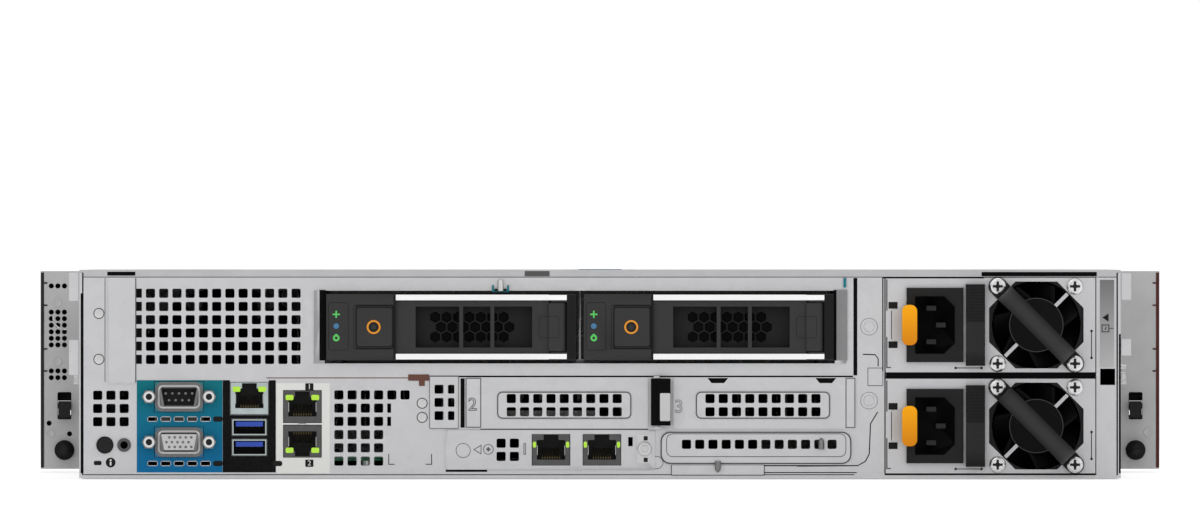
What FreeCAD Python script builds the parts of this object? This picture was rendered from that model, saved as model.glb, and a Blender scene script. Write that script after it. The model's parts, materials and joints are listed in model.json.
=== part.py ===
import FreeCAD, Part
import os
from math import cos, pi, radians, sin

# Two-unit rack server, in millimetres. +Z is up and the rear wall faces -Y, so the drive bays
# and the rack ears face +Y. The origin is the middle of the footprint on the lowest face.

V = FreeCAD.Vector

# ---- Sheet metal and clearances
wall = 1.2             # chassis sheet
cover_sheet = 1.0      # lid and front roof
panel_sheet = 1.0      # rear panels
bracket_sheet = 0.8    # slot covers, cages and rails
fit_gap = 0.3          # between pieces that slide or swing past each other
bay_gap = 0.4          # around a power supply in its bay
edge_gap = 0.6         # between a side wall and the rear panels
shaft_gap = 0.05       # radial running fit of a shaft in its bearing
seat_gap = 0.1         # around a screw or a post in its hole

# ---- Drive carriers (front and rear use the same one)
bezel_width = 104.0
bezel_height = 27.6
bezel_depth = 10.0
bezel_proud = 4.0      # bezel face beyond the wall it sits in
rail_overhang = 2.0    # carrier rails beyond the drive
carrier_height = 26.2
rail_sheet = 0.9
drive_length = 147.0
drive_height = 24.6
column_gap = 3.3       # between the bezels of two columns
row_gap = 0.6          # between the bezels of two rows
carrier_columns = 4
carrier_rows = 3
shelf_sheet = 1.2
ledge_width = 8.0
bar_places = (27.2, 40.2)  # window bars from the free end of the handle
connector_width = 42.0
connector_height = 6.0
connector_depth = 4.0
button_left = 12.8
button_width = 14.8
button_height = 17.4
button_travel = 2.0
button_depth = 4.5
handle_left = 29.0
handle_margin = 4.0    # bezel beyond the hinged end of the handle
handle_depth = 5.0
handle_flange = 2.3    # bright rail along the top and bottom of a handle
handle_gap = 0.4
shoulder_gap = 0.8     # beside the knuckle, where the handle's shoulder swings through
window_left = 8.2      # from the free end of the handle
window_width = 48.6
window_height = 17.1
window_bar = 1.6
knuckle_height = 20.0
hinge_pin_radius = 0.9
hinge_setback = 2.4    # hinge axis from the handle's end and front
knuckle_length = 7.2   # from the shoulder of the handle to its hinged end

# ---- Power supplies
psu_width = 87.4
psu_height = 39.4
psu_length = 185.0
psu_sheet = 0.8
psu_shelf = 1.9
psu_floor_gap = 0.8
psu_connector_room = 15.0
handle_reach = 36.7    # pull handle behind the rear wall
handle_band = 7.7
handle_thickness = 4.0
handle_eye = 2.5             # eyelet under a screw head
screw_head_height = 1.6
inlet_left = 8.7       # from the left side of the supply
inlet_width = 23.7
inlet_height = 31.0
inlet_proud = 2.5
inlet_depth = 24.0
socket_width = 16.6
socket_height = 24.0
socket_depth = 18.0
socket_chamfer = 4.4
pin_spacing = 7.0
pin_offset = 1.5
earth_pin_offset = 2.5
pin_width = 4.0
pin_thickness = 2.0
pin_clear = 5.0        # pin tips behind the socket mouth
strap_left = 33.4
strap_width = 8.0
strap_height = 34.0
strap_thickness = 2.4
strap_proud = 3.0
psu_latch_left = 2.6
psu_latch_stem = 3.0
psu_latch_web = 4.0
psu_latch_tab = 6.5
psu_latch_stem_height = 11.2
psu_latch_sheet = 4.0
psu_latch_height = 16.8
psu_latch_reach = 9.0
psu_latch_travel = 1.8
psu_latch_tail = 14.0
psu_fan_left = 62.8    # fan axis from the left side of the supply
psu_fan_width = 41.0
psu_fan_height = 37.0
psu_fan_depth = 28.0
psu_fan_corner = 11.0
psu_fan_hub = 11.0
psu_fan_screw = 32.2   # screw spacing
psu_screw_head = 3.5

# ---- Rear wall, from the left side to the right side
io_panel_width = 144.2
slot_panel_width = 178.8
column_width = 10.8
bay_wall = 1.0
label_strip_width = 7.4
upper_panel_sill = 43.3      # height of the joint between the upper and lower rear panels
rear_bay_margin = 5.4        # right end of the drive opening to the power column
rear_opening_margin = 5.15   # between the opening and the outer bezels
rear_opening_clear = 1.35    # above and below the bezels
rear_opening_sill = 47.8
backplane_gap = 3.0          # carrier rails to the backplane board
rear_cage_tail = 7.0
vent_pitch = 5.515
vent_hole = 3.83
vent_corner = 0.7
vent_slot = 1.6
vent_left = 27.9             # first column from the left end of the rear panels
vent_sill = 49.45            # lowest row of the upper vent
side_vent_left = 5.9          # small vent field from the left end of the panel
side_vent_sill = 23.5
io_vent_left = 106.4         # right vent field from the left end of the panel
io_vent_right = 20.0
io_vent_sill = 7.1
io_vent_extra = 2          # more holes in the top row than in the others
io_slit_width = 1.6
io_slit_rows = (2, 3)      # rows from the top that end in a slit
low_slot_heights = (6.1, 24.6)
strip_width = 11.1
strip_left = 10.4
strip_height = 44.0
strip_proud = 1.0

# ---- Connectors on the left half of the rear wall
board_height = 6.0           # underside of the system board above the tray
board_sheet = 1.6
port_gap = 0.25              # between a connector and its cut-out
dsub_from_left = 39.8
dsub_flange_width = 20.2
dsub_flange_height = 12.4
dsub_shell_width = 17.0
dsub_shell_height = 8.8
dsub_shell_reach = 5.5
dsub_shell_sheet = 0.5
dsub_post_spacing = 25.0
dsub_post_radius = 2.7
dsub_post_reach = 5.0
dsub_depth = 14.0
dsub_pin_pitch = 2.76
dsub_pin_rise = 1.42
dsub_pin_radius = 0.5
dsub_spacer = 6.5            # between the video and the serial connector
jack_width = 15.6
jack_height = 13.2
jack_depth = 21.0
jack_cavity_width = 11.8
jack_cavity_height = 8.2
jack_cavity_depth = 14.0
jack_notch_width = 6.2
jack_notch_height = 2.2
management_from_left = 69.1
management_spacer = 1.9      # above the USB block
network_from_left = 91.2
network_spacer = 1.2         # between the stacked jacks
usb_width = 14.2
usb_height = 6.6
usb_lift = 0.7               # lower USB socket above the board
usb_spacer = 1.8
usb_tongue = 1.9
usb_sheet = 0.5
usb_depth = 17.0
identify_from_left = 8.9
identify_height = 13.8
identify_radius = 3.3
identify_travel = 1.5
identify_length = 8.0
status_from_left = 16.9
status_radius = 2.75
status_bore = 1.6

# ---- Expansion slots and the network card
slot_right_margin = 1.2
slot_cover_width = 76.0
slot_cover_height = 21.4
slot_cover_sill = 20.6
slot_window_margin = 2.5
slot_emboss_width = 56.0
slot_emboss_height = 11.4
slot_emboss_depth = 0.5
slot_emboss_corner = 2.2
slot_hole_rows = (-2.75, 2.75)
slot_hole_middle = 9.8         # above the foot of the cover
slot_hole_shifts = (-0.7, 3.1)    # vent field from the middle of the right and the left cover
slot_hole_columns = 9
slot_latch_width = 8.2
slot_latch_height = 19.6
slot_latch_depth = 5.0
slot_latch_gap = 1.2
lug_height = 1.0             # hinge lugs of the slot latch
card_left = 6.7              # network card plate from the left end of the slot panel
card_width = 87.2
card_rim = 1.6
card_sill = 3.6
card_sink = 40.0
card_sink_height = 8.0
card_board_depth = 95.0
card_board_width = 84.0
card_jack_centres = (43.9, 65.1)
card_hole_left = 23.1
card_slit_place = (77.0, 3.4)    # from the left end of the plate, and above its middle
card_slit_width = 1.9
lower_bracket_left = 96.0
lower_bracket_width = 80.0
lower_bracket_height = 14.0
lower_bracket_sill = 5.6
lower_bracket_corner = 5.0

# ---- Depth, from the rear wall to the ear plane
bay_clear = 15.0             # power bay to the processor zone
processor_clear = 33.5       # around the longest piece of the processor zone
fan_clear = 18.4
backplane_zone = 33.0
front_backplane_room = 20.0  # carriers to the end of the front cage
cage_overhang = 8.0          # tray, cage and roof in front of the ear plane
carrier_overhang = 20.0      # front carrier faces in front of the ear plane
ear_cover_depth = 22.0

# ---- Chassis fans
fan_count = 4
fan_size = 80.0
fan_depth = 38.0
fan_frame_wall = 1.8
fan_tip_gap = 0.8
fan_hub = 20.0
fan_blades = 7
blade_thickness = 1.4
blade_angle = 35.0
shaft_radius = 1.5
bearing_depth = 5.0
strut_width = 3.0
fan_cage_setback = 12.0

# ---- Board, processors and memory
processor_count = 2
chip_size = 30.0
chip_height = 3.0
sink_width = 78.0
sink_depth = 108.0
sink_height = 62.0
sink_base = 5.0
sink_fins = 20
fin_sheet = 0.8
processor_height = 7.0
processor_size = 58.0
memory_per_bank = 6
memory_pitch = 8.0
memory_length = 133.0
memory_height = 31.0
memory_sheet = 1.3
memory_socket_width = 6.0
memory_socket_height = 8.0
shroud_sheet = 1.5
shroud_top_gap = 2.0

# ---- Rack ears
ear_reach = 24.0
ear_sheet = 2.0
ear_flange_sheet = 1.5
ear_flange_length = 60.0
ear_margin = 0.8
ear_slot_width = 6.0
ear_slot_height = 11.8
ear_slot_middle = 28.0
rack_screw_height = 8.9
rack_screw_radius = 2.4
rack_collar_radius = 4.2
rack_collar_length = 3.0
rack_shank_reach = 8.0
rack_head_radius = 5.0
rack_head_length = 7.0
ear_fixing_from_edge = 10.3
ear_cover_wall = 1.8
ear_window_width = 15.6
ear_window_below = 4.0    # finger window under and over the middle of the rack latch
ear_window_above = 10.0
rack_latch_width = 5.2
rack_latch_thick = 4.0
rack_latch_pivot = 9.0
rack_latch_front = 10.0
rack_latch_back = 18.0
rack_latch_hook = 3.0
rack_pin_radius = 1.2
ear_hole_radius = 1.1
ear_hole_pitch = 2.83
ear_hole_sill = 54.2
ear_hole_top = 68.4
ear_outlying_rows = (40.1, 43.0, 79.6)
ear_hole_columns = 3
ear_single_holes = ((6.6, 20.5), (-2.2, 15.9))    # outwards from the fixing line, and height
power_button_radius = 5.0
power_button_height = 66.0
power_button_depth = 6.0

# ---- Lid
lid_lip = 2.9
lid_latch_width = 28.0
lid_latch_length = 92.0
lid_latch_thick = 3.0
lid_latch_depth = 8.0
lid_latch_from_rear = 160.0
lid_finger_room = 16.0
lid_hook_length = 20.0
lid_hook_height = 9.0
lid_hooks = 3
stud_radius = 4.0
stud_reach = 3.0
stud_height = 43.0
stud_count = 4
standoff_radius = 3.0
standoff_inset = 8.0
rivet_radius = 2.05
rivet_proud = 0.8
rivet_from_left = 6.4
rivet_from_right = 3.1
upper_rivets = (49.5, 68.6)
lower_rivets = (25.3, 31.2)

# ---- Widths: the wider of the rear row and the front row sets the body
psu_bay_width = psu_width + 2 * bay_gap
drive_start = bezel_depth + 2 * rail_sheet
carrier_length = drive_start + drive_length + rail_overhang
rear_row = io_panel_width + slot_panel_width + column_width + psu_bay_width + bay_wall + label_strip_width
column_pitch = bezel_width + column_gap
row_pitch = bezel_height + row_gap
handle_length = bezel_width - handle_left - handle_margin
rear_opening_width = column_pitch + bezel_width + 2 * rear_opening_margin
rear_opening_height = bezel_height + 2 * rear_opening_clear
front_row = carrier_columns * column_pitch + 2 * bay_gap
body_width = max(rear_row + 2 * edge_gap, front_row) + 2 * wall
left_side = -body_width / 2
right_side = body_width / 2
panel_left = left_side + wall + edge_gap
panel_right = right_side - wall - edge_gap
bay_right = panel_right - label_strip_width - bay_wall
bay_left = bay_right - psu_bay_width
column_left = bay_left - column_width
slot_left = column_left - slot_panel_width
ear_edge = right_side + ear_reach
ear_fixing = ear_edge - ear_fixing_from_edge

# ---- Heights: the taller of the drive stack, the supply stack and the fans sets the body
psu_pitch = psu_height + psu_shelf + 2 * bay_gap
psu_stack = psu_floor_gap + psu_pitch + psu_height + bay_gap
drive_stack = carrier_rows * row_pitch
fan_stack = fan_size + 2 * bracket_sheet + fit_gap
inner_height = max(psu_stack, drive_stack, fan_stack)
body_height = wall + inner_height + cover_sheet
ceiling = wall + inner_height
psu_floors = (wall + psu_floor_gap, wall + psu_floor_gap + psu_pitch)
psu_names = ("lower", "upper")
upper_panel_top = body_height - lid_lip - fit_gap
board_floor = wall + board_height
board_top = board_floor + board_sheet
video_height = board_top + dsub_flange_height / 2
serial_height = video_height + dsub_flange_height + dsub_spacer
network_low = board_top + jack_height / 2
network_heights = (network_low, network_low + jack_height + network_spacer)
usb_low = board_top + usb_lift + usb_height / 2
usb_heights = (usb_low, usb_low + usb_height + usb_spacer)
usb_block_top = usb_heights[1] + usb_height / 2 + port_gap
management_height = usb_block_top + management_spacer + jack_height / 2

# ---- Depths: the origin halves the whole length
psu_bay_length = psu_length + psu_connector_room
rear_zone = psu_bay_length + bay_clear
processor_zone = max(sink_depth, memory_length) + 2 * processor_clear
fan_zone = fan_cage_setback + fan_depth + 2 * bracket_sheet + fan_clear
front_cage_depth = carrier_length - carrier_overhang + front_backplane_room
body_depth = rear_zone + processor_zone + fan_zone + backplane_zone + front_cage_depth
total_depth = handle_reach + body_depth + ear_cover_depth
rear = handle_reach - total_depth / 2
processor_start = rear + rear_zone
fan_start = processor_start + processor_zone
backplane_start = fan_start + fan_zone
cage_start = backplane_start + backplane_zone
ear_plane = cage_start + front_cage_depth
front = ear_plane + ear_cover_depth
cage_front = ear_plane + cage_overhang
lid_front = backplane_start - fit_gap

along_x = V(1, 0, 0)
along_y = V(0, 1, 0)
along_z = V(0, 0, 1)


# ---- Shape helpers
def block(x0, x1, y0, y1, z0, z1):
    return Part.makeBox(x1 - x0, y1 - y0, z1 - z0, V(x0, y0, z0))


def rod(x, y, z, radius, length, axis):
    return Part.makeCylinder(radius, length, V(x, y, z), axis)


def joined(first, *others):
    return first.fuse(list(others)).removeSplitter()


def shell(x0, x1, y0, y1, z0, z1, sheet):
    """Closed box of sheet metal."""
    inner = block(x0 + sheet, x1 - sheet, y0 + sheet, y1 - sheet, z0 + sheet, z1 - sheet)
    return block(x0, x1, y0, y1, z0, z1).cut(inner)


def outline(x, z, width, height, y, corner=0.0):
    """Rectangle about (x, z) in a plane of constant y, with rounded corners if corner is given."""
    right, top = width / 2, height / 2
    if corner == 0:
        ends = ((-right, -top), (right, -top), (right, top), (-right, top), (-right, -top))
        return Part.makePolygon([V(x + dx, y, z + dz) for dx, dz in ends])
    edges = []
    for turn, (sx, sz) in enumerate(((1, -1), (1, 1), (-1, 1), (-1, -1))):
        cx = x + sx * (right - corner)
        cz = z + sz * (top - corner)
        start = pi / 2 * (turn - 1)
        on_arc = [V(cx + corner * cos(start + step * pi / 4), y, cz + corner * sin(start + step * pi / 4))
                  for step in range(3)]
        edges.append(Part.Arc(*on_arc).toShape())
    for here, after in zip(list(edges), edges[1:] + edges[:1]):
        edges.append(Part.makeLine(here.lastVertex().Point, after.firstVertex().Point))
    return Part.Wire(Part.sortEdges(edges)[0])


def ring(x, z, radius, y):
    return Part.Wire(Part.makeCircle(radius, V(x, y, z), along_y))


def plate(outer, holes, thickness):
    """Flat sheet from an outline and its holes, thick towards +Y."""
    face = Part.makeFace([outer] + holes, "Part::FaceMakerBullseye")
    return face.extrude(V(0, thickness, 0))


def places(first, last, pitch):
    """As many evenly pitched places as fit between two ends."""
    return [first + pitch * step for step in range(int((last - first) / pitch + 0.05) + 1)]


def vents(first_x, last_x, first_z, last_z, y):
    """Field of square vent holes."""
    return [outline(x, z, vent_hole, vent_hole, y, vent_corner)
            for x in places(first_x, last_x, vent_pitch) for z in places(first_z, last_z, vent_pitch)]


def moved(shape, x, y, z, turned=False):
    """Copy at a place, turned half round about +Z first when it faces the front."""
    copy = shape.copy()
    if turned:
        copy.rotate(V(0, 0, 0), along_z, 180)
    copy.translate(V(x, y, z))
    return copy


parts = {}


# ---- Drive carriers, built with the face at y = 0 and the bezel corner at the origin
bezel_middle = bezel_height / 2
handle_right = handle_left + handle_length
hinge_x = handle_right - hinge_setback
knuckle_left = handle_right - knuckle_length
pocket_depth = handle_depth + handle_gap
carrier_sill = (bezel_height - carrier_height) / 2
rail_left = fit_gap
drive_left = rail_left + rail_sheet
drive_right = bezel_width - drive_left


def carrier_frame():
    body = block(0, bezel_width, 0, bezel_depth, 0, bezel_height)
    swing_pocket = block(handle_left - handle_gap, knuckle_left + shoulder_gap,
                         0, pocket_depth, 0, bezel_height)
    knuckle_pocket = block(knuckle_left, handle_right + handle_gap, 0, pocket_depth,
                           bezel_middle - knuckle_height / 2 - fit_gap,
                           bezel_middle + knuckle_height / 2 + fit_gap)
    window = block(handle_left + window_left, handle_left + window_left + window_width, 0, bezel_depth,
                   bezel_middle - window_height / 2, bezel_middle + window_height / 2)
    button_pocket = block(button_left - fit_gap, button_left + button_width + fit_gap,
                          0, button_depth + button_travel + fit_gap,
                          bezel_middle - button_height / 2 - fit_gap,
                          bezel_middle + button_height / 2 + fit_gap)
    body = body.cut([swing_pocket, knuckle_pocket, window, button_pocket])
    pin = rod(hinge_x, hinge_setback, 0, hinge_pin_radius, bezel_height, along_z)
    rails = [block(x, x + rail_sheet, bezel_depth, carrier_length, carrier_sill, carrier_sill + carrier_height)
             for x in (rail_left, drive_right)]
    return joined(body, pin, *rails)


def carrier_drive():
    floor = bezel_middle - drive_height / 2
    return block(drive_left, drive_right, drive_start, drive_start + drive_length, floor, floor + drive_height)


def carrier_handle():
    grip = block(handle_left, knuckle_left, 0, handle_depth, fit_gap, bezel_height - fit_gap)
    neck_floor = bezel_middle - knuckle_height / 2
    neck = block(knuckle_left, hinge_x, 0, 2 * hinge_setback, neck_floor, neck_floor + knuckle_height)
    knuckle = rod(hinge_x, hinge_setback, neck_floor, hinge_setback, knuckle_height, along_z)
    handle = joined(grip, neck, knuckle)
    recess = block(handle_left, knuckle_left, 0, handle_gap + rail_sheet,
                   fit_gap + handle_flange, bezel_height - fit_gap - handle_flange)
    window_start = handle_left + window_left
    bars = [handle_left + place for place in bar_places]
    edges = [window_start] + [edge for bar in bars for edge in (bar - window_bar / 2, bar + window_bar / 2)]
    edges.append(window_start + window_width)
    panes = [block(x0, x1, 0, handle_depth, bezel_middle - window_height / 2, bezel_middle + window_height / 2)
             for x0, x1 in zip(edges[::2], edges[1::2])]
    bore = rod(hinge_x, hinge_setback, 0, hinge_pin_radius + shaft_gap, bezel_height, along_z)
    return handle.cut([recess, bore] + panes)


def carrier_button():
    return block(button_left, button_left + button_width, 0, button_depth,
                 bezel_middle - button_height / 2, bezel_middle + button_height / 2)


frame_shape = carrier_frame()
drive_shape = carrier_drive()
handle_shape = carrier_handle()
button_shape = carrier_button()

opening_right = column_left - rear_bay_margin
opening_left = opening_right - rear_opening_width
opening_top = rear_opening_sill + rear_opening_height
sled_sides = ("left", "right")
sled_left = [opening_left + rear_opening_margin + column_pitch * index for index in range(2)]
sled_floor = rear_opening_sill + rear_opening_clear
sled_face = rear - bezel_proud
for side, left in zip(sled_sides, sled_left):
    parts["rear_sled_" + side] = [moved(shape, left, sled_face, sled_floor)
                                  for shape in (frame_shape, drive_shape)]
    parts["rear_handle_" + side] = [moved(handle_shape, left, sled_face, sled_floor)]
    parts["rear_button_" + side] = [moved(button_shape, left, sled_face, sled_floor)]

front_face = ear_plane + carrier_overhang
bay_margin = column_gap / 2
row_margin = row_gap / 2
column_edges = [column_pitch * (index - carrier_columns / 2) for index in range(carrier_columns + 1)]
row_floors = [wall + row_pitch * row for row in range(carrier_rows)]
for row, row_floor in enumerate(row_floors):
    for column, edge in enumerate(column_edges[:-1]):
        corner = (edge + bay_margin + bezel_width, front_face, row_floor + row_margin)
        parts["front_carrier_%d" % (carrier_columns * row + column + 1)] = [
            moved(shape, *corner, turned=True)
            for shape in (frame_shape, drive_shape, handle_shape, button_shape)]


# ---- Chassis tray, front cage, roof and backplane
def tray():
    floor = block(left_side, right_side, rear, cage_front, 0, wall)
    side_top = ceiling - fit_gap
    sides = [block(x, x + wall, rear, cage_front, 0, side_top) for x in (left_side, right_side - wall)]
    return joined(floor, *sides)


parts["chassis_tray"] = [tray()]


def front_cage():
    """Upright plates between the columns and a shelf under each row, a sliding gap below the rails."""
    half = bracket_sheet / 2
    pieces = [block(x - half, x + half, cage_start, cage_front, wall, ceiling) for x in column_edges]
    for row_floor in row_floors:
        top = row_floor + row_margin + carrier_sill - fit_gap
        pieces.append(block(column_edges[0], column_edges[-1], cage_start, cage_front,
                            max(top - shelf_sheet, wall), top))
    return joined(*pieces)


front_roof = block(left_side, right_side, backplane_start, cage_front, ceiling, body_height)
parts["front_cage"] = [front_cage(), front_roof]


def backplane(x0, x1, y0, z0, z1, air_holes):
    board = outline((x0 + x1) / 2, (z0 + z1) / 2, x1 - x0, z1 - z0, y0)
    return plate(board, air_holes, board_sheet)


def front_backplane():
    board_start = cage_start - board_sheet
    cells = [(edge + column_pitch / 2, row_floor + row_pitch / 2)
             for edge in column_edges[:-1] for row_floor in row_floors]
    air_holes = [outline(x, z + connector_height, connector_width, connector_height, board_start)
                 for x, z in cells]
    board = backplane(column_edges[0], column_edges[-1], board_start, wall, ceiling, air_holes)
    sockets = [block(x - connector_width / 2, x + connector_width / 2, cage_start, cage_start + connector_depth,
                     z - connector_height, z) for x, z in cells]
    return [board] + sockets


# ---- Rear wall panels
def dsub_cutout(height):
    return outline(panel_left + dsub_from_left, height, dsub_flange_width + 2 * port_gap,
                   dsub_flange_height + 2 * port_gap, rear)


def jack_cutout(from_left, height):
    return outline(panel_left + from_left, height, jack_width + 2 * port_gap, jack_height + 2 * port_gap, rear)


def usb_cutout(height):
    return outline(panel_left + management_from_left, height, usb_width + 2 * port_gap,
                   usb_height + 2 * port_gap, rear)


def rear_upper_panel():
    holes = vents(panel_left + vent_left, opening_left - vent_hole,
                  vent_sill, upper_panel_top - vent_hole, rear)
    holes.append(outline((opening_left + opening_right) / 2, (rear_opening_sill + opening_top) / 2,
                         rear_opening_width, rear_opening_height, rear))
    sheet = outline((panel_left + column_left) / 2, (upper_panel_sill + upper_panel_top) / 2,
                    column_left - panel_left, upper_panel_top - upper_panel_sill, rear)
    strip_start = panel_left + strip_left
    strip = block(strip_start, strip_start + strip_width, rear - strip_proud, rear,
                  upper_panel_top - strip_height, upper_panel_top)
    return joined(plate(sheet, holes, panel_sheet), strip)


def low_slots(first, last, height):
    return [outline(x, height, vent_hole, vent_slot, rear) for x in places(first, last, vent_pitch)]


def rear_io_panel():
    sheet = outline((panel_left + slot_left) / 2, (wall + upper_panel_sill) / 2,
                    slot_left - panel_left, upper_panel_sill - wall, rear)
    side_vent = panel_left + side_vent_left
    holes = vents(side_vent, side_vent + 2 * vent_pitch, side_vent_sill, side_vent_sill + 2 * vent_pitch, rear)
    holes += [dsub_cutout(video_height), dsub_cutout(serial_height)]
    holes += [jack_cutout(management_from_left, management_height)]
    holes += [jack_cutout(network_from_left, height) for height in network_heights]
    holes += [usb_cutout(height) for height in usb_heights]
    holes.append(ring(panel_left + identify_from_left, identify_height, identify_radius + fit_gap, rear))
    holes.append(ring(panel_left + status_from_left, identify_height, status_radius + seat_gap, rear))
    columns = places(panel_left + io_vent_left, slot_left - io_vent_right, vent_pitch)
    rows = places(io_vent_sill, upper_panel_sill - 2 * vent_hole, vent_pitch)
    holes += vents(columns[0], columns[-1], rows[0], rows[-1], rear)
    holes += vents(columns[-1] + vent_pitch, columns[-1] + io_vent_extra * vent_pitch, rows[-1], rows[-1], rear)
    holes += [outline(columns[-1] + vent_pitch - vent_hole / 2 + io_slit_width / 2, rows[-row], io_slit_width,
                      vent_hole, rear) for row in io_slit_rows]
    low_first = panel_left + dsub_from_left - 2 * vent_pitch
    for height in low_slot_heights:
        holes += low_slots(low_first, low_first + 4 * vent_pitch, height)
    return plate(sheet, holes, panel_sheet)


slot_right = [column_left - slot_right_margin]
slot_right.append(slot_right[0] - slot_cover_width - 2 * slot_latch_gap - slot_latch_width)
slot_top = slot_cover_sill + slot_cover_height
slot_middle = slot_cover_sill + slot_cover_height / 2
card_plate_left = slot_left + card_left
card_height = jack_height + 2 * card_rim
card_middle = card_sill + card_height / 2
card_board_floor = card_middle + jack_height / 2
latch_left = slot_right[1] + slot_latch_gap
latch_pivot = latch_left + hinge_setback
latch_floor = slot_cover_sill + lug_height
latch_top = latch_floor + 2 * fit_gap + slot_latch_height
bracket_left = slot_left + lower_bracket_left


def rear_slot_panel():
    sheet = outline((slot_left + column_left) / 2, (wall + upper_panel_sill) / 2,
                    slot_panel_width, upper_panel_sill - wall, rear)
    holes = [outline(right - slot_cover_width / 2, slot_middle, slot_cover_width - 2 * slot_window_margin,
                     slot_cover_height - 2 * slot_window_margin, rear) for right in slot_right]
    holes.append(outline(card_plate_left + card_width / 2, card_middle, card_width - 2 * slot_window_margin,
                         card_height - card_rim, rear))
    holes += vents(slot_left + vent_hole, slot_right[1] - slot_cover_width - vent_hole,
                   slot_cover_sill + vent_pitch, slot_top - vent_hole, rear)
    row = places(bracket_left + 2 * vent_pitch, bracket_left + lower_bracket_width - vent_pitch, vent_pitch)
    row_height = lower_bracket_sill + lower_bracket_height - vent_pitch
    holes += [outline(x, row_height, vent_hole, vent_hole, rear, vent_corner) for x in row]
    flat = plate(sheet, holes, panel_sheet)
    front_holes = [outline(x, row_height, vent_hole, vent_hole, rear - bracket_sheet, vent_corner) for x in row]
    raised = plate(outline(bracket_left + lower_bracket_width / 2, lower_bracket_sill + lower_bracket_height / 2,
                           lower_bracket_width, lower_bracket_height, rear - bracket_sheet,
                           lower_bracket_corner), front_holes, bracket_sheet)
    lugs = [block(latch_pivot - hinge_setback / 2, latch_pivot + hinge_setback / 2, rear - 2 * hinge_setback, rear,
                  floor, floor + lug_height - fit_gap) for floor in (latch_floor - lug_height, latch_top)]
    pin = rod(latch_pivot, rear - hinge_setback - fit_gap, latch_floor - lug_height, hinge_pin_radius,
              latch_top + lug_height - fit_gap - (latch_floor - lug_height), along_z)
    return joined(flat, raised, pin, *lugs)


parts["rear_upper_panel"] = [rear_upper_panel()]
parts["rear_io_panel"] = [rear_io_panel()]
parts["rear_slot_panel"] = [rear_slot_panel()]


# ---- Connectors on the system board
def dsub(middle, pin_field):
    """Connector block with its flange flush in the panel and its slanted shell standing out."""
    x = panel_left + dsub_from_left
    half_width = dsub_flange_width / 2
    half_height = dsub_flange_height / 2
    body = block(x - half_width, x + half_width, rear, rear + dsub_depth,
                 middle - half_height, middle + half_height)
    lean = dsub_shell_height / 6
    half_shell = dsub_shell_width / 2
    half_rise = dsub_shell_height / 2
    corners = ((-half_shell + lean, -half_rise), (half_shell - lean, -half_rise),
               (half_shell, half_rise), (-half_shell, half_rise), (-half_shell + lean, -half_rise))
    front_y = rear - dsub_shell_reach
    skin = Part.makePolygon([V(x + dx, front_y, middle + dz) for dx, dz in corners])
    scale = 1 - 2 * dsub_shell_sheet / dsub_shell_height
    inside = Part.makePolygon([V(x + dx * scale, front_y, middle + dz * scale) for dx, dz in corners])
    collar = plate(skin, [inside], dsub_shell_reach)
    return joined(body, collar, *pin_field(x, middle))


def socket_insert(x, middle):
    half_width = dsub_shell_width / 2 - 2 * dsub_shell_sheet - dsub_shell_height / 6
    half_height = dsub_shell_height / 2 - 2 * dsub_shell_sheet
    return [block(x - half_width, x + half_width, rear - dsub_shell_reach + dsub_shell_sheet, rear,
                  middle - half_height, middle + half_height)]


def pin_rows(x, middle):
    pins = []
    for count, height in ((5, dsub_pin_rise), (4, -dsub_pin_rise)):
        first = x - dsub_pin_pitch * (count - 1) / 2
        pins += [rod(first + dsub_pin_pitch * step, rear - dsub_shell_reach + dsub_shell_sheet, middle + height,
                     dsub_pin_radius, dsub_shell_reach - dsub_shell_sheet, along_y) for step in range(count)]
    return pins


dsub_x = panel_left + dsub_from_left
video_top = video_height + dsub_flange_height / 2
serial_bottom = serial_height - dsub_flange_height / 2
parts["dsub_ports"] = [
    dsub(video_height, socket_insert),
    joined(dsub(serial_height, pin_rows),
           block(dsub_x - dsub_flange_width / 2, dsub_x + dsub_flange_width / 2, rear + panel_sheet,
                 rear + dsub_depth, video_top, serial_bottom))]


def network_jack(x, middle, face, latch_up):
    half = jack_width / 2
    body = block(x - half, x + half, face, face + jack_depth,
                 middle - jack_height / 2, middle + jack_height / 2)
    half_cavity = jack_cavity_height / 2
    cavity = block(x - jack_cavity_width / 2, x + jack_cavity_width / 2, face, face + jack_cavity_depth,
                   middle - half_cavity, middle + half_cavity)
    notch_floor = middle + half_cavity if latch_up else middle - half_cavity - jack_notch_height
    notch = block(x - jack_notch_width / 2, x + jack_notch_width / 2, face, face + jack_cavity_depth,
                  notch_floor, notch_floor + jack_notch_height)
    return body.cut([cavity, notch])


def stacked_jacks():
    x = panel_left + network_from_left
    low, high = network_heights
    face = rear - fit_gap
    spacer = block(x - jack_width / 2, x + jack_width / 2, rear + panel_sheet, rear + jack_depth,
                   low + jack_height / 2, high - jack_height / 2)
    return [network_jack(x, low, face, False), joined(network_jack(x, high, face, True), spacer)]


def management_jack():
    x = panel_left + management_from_left
    foot = block(x - jack_width / 2, x + jack_width / 2, rear + panel_sheet, rear + jack_depth,
                 usb_block_top, management_height - jack_height / 2)
    return joined(network_jack(x, management_height, rear - fit_gap, True), foot)


def card_jacks():
    return [network_jack(card_plate_left + x, card_middle, rear - bracket_sheet, True)
            for x in card_jack_centres]


def status_jack():
    x = panel_left + status_from_left
    body = rod(x, rear - panel_sheet, identify_height, status_radius, jack_depth, along_y)
    bore = rod(x, rear - panel_sheet, identify_height, status_bore, jack_cavity_depth, along_y)
    foot = block(x - status_radius, x + status_radius, rear + 2 * panel_sheet, rear + jack_depth - panel_sheet,
                 board_top, identify_height)
    return joined(body, foot).cut(bore)


parts["rear_jacks"] = stacked_jacks() + [management_jack(), status_jack()] + card_jacks()


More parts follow.
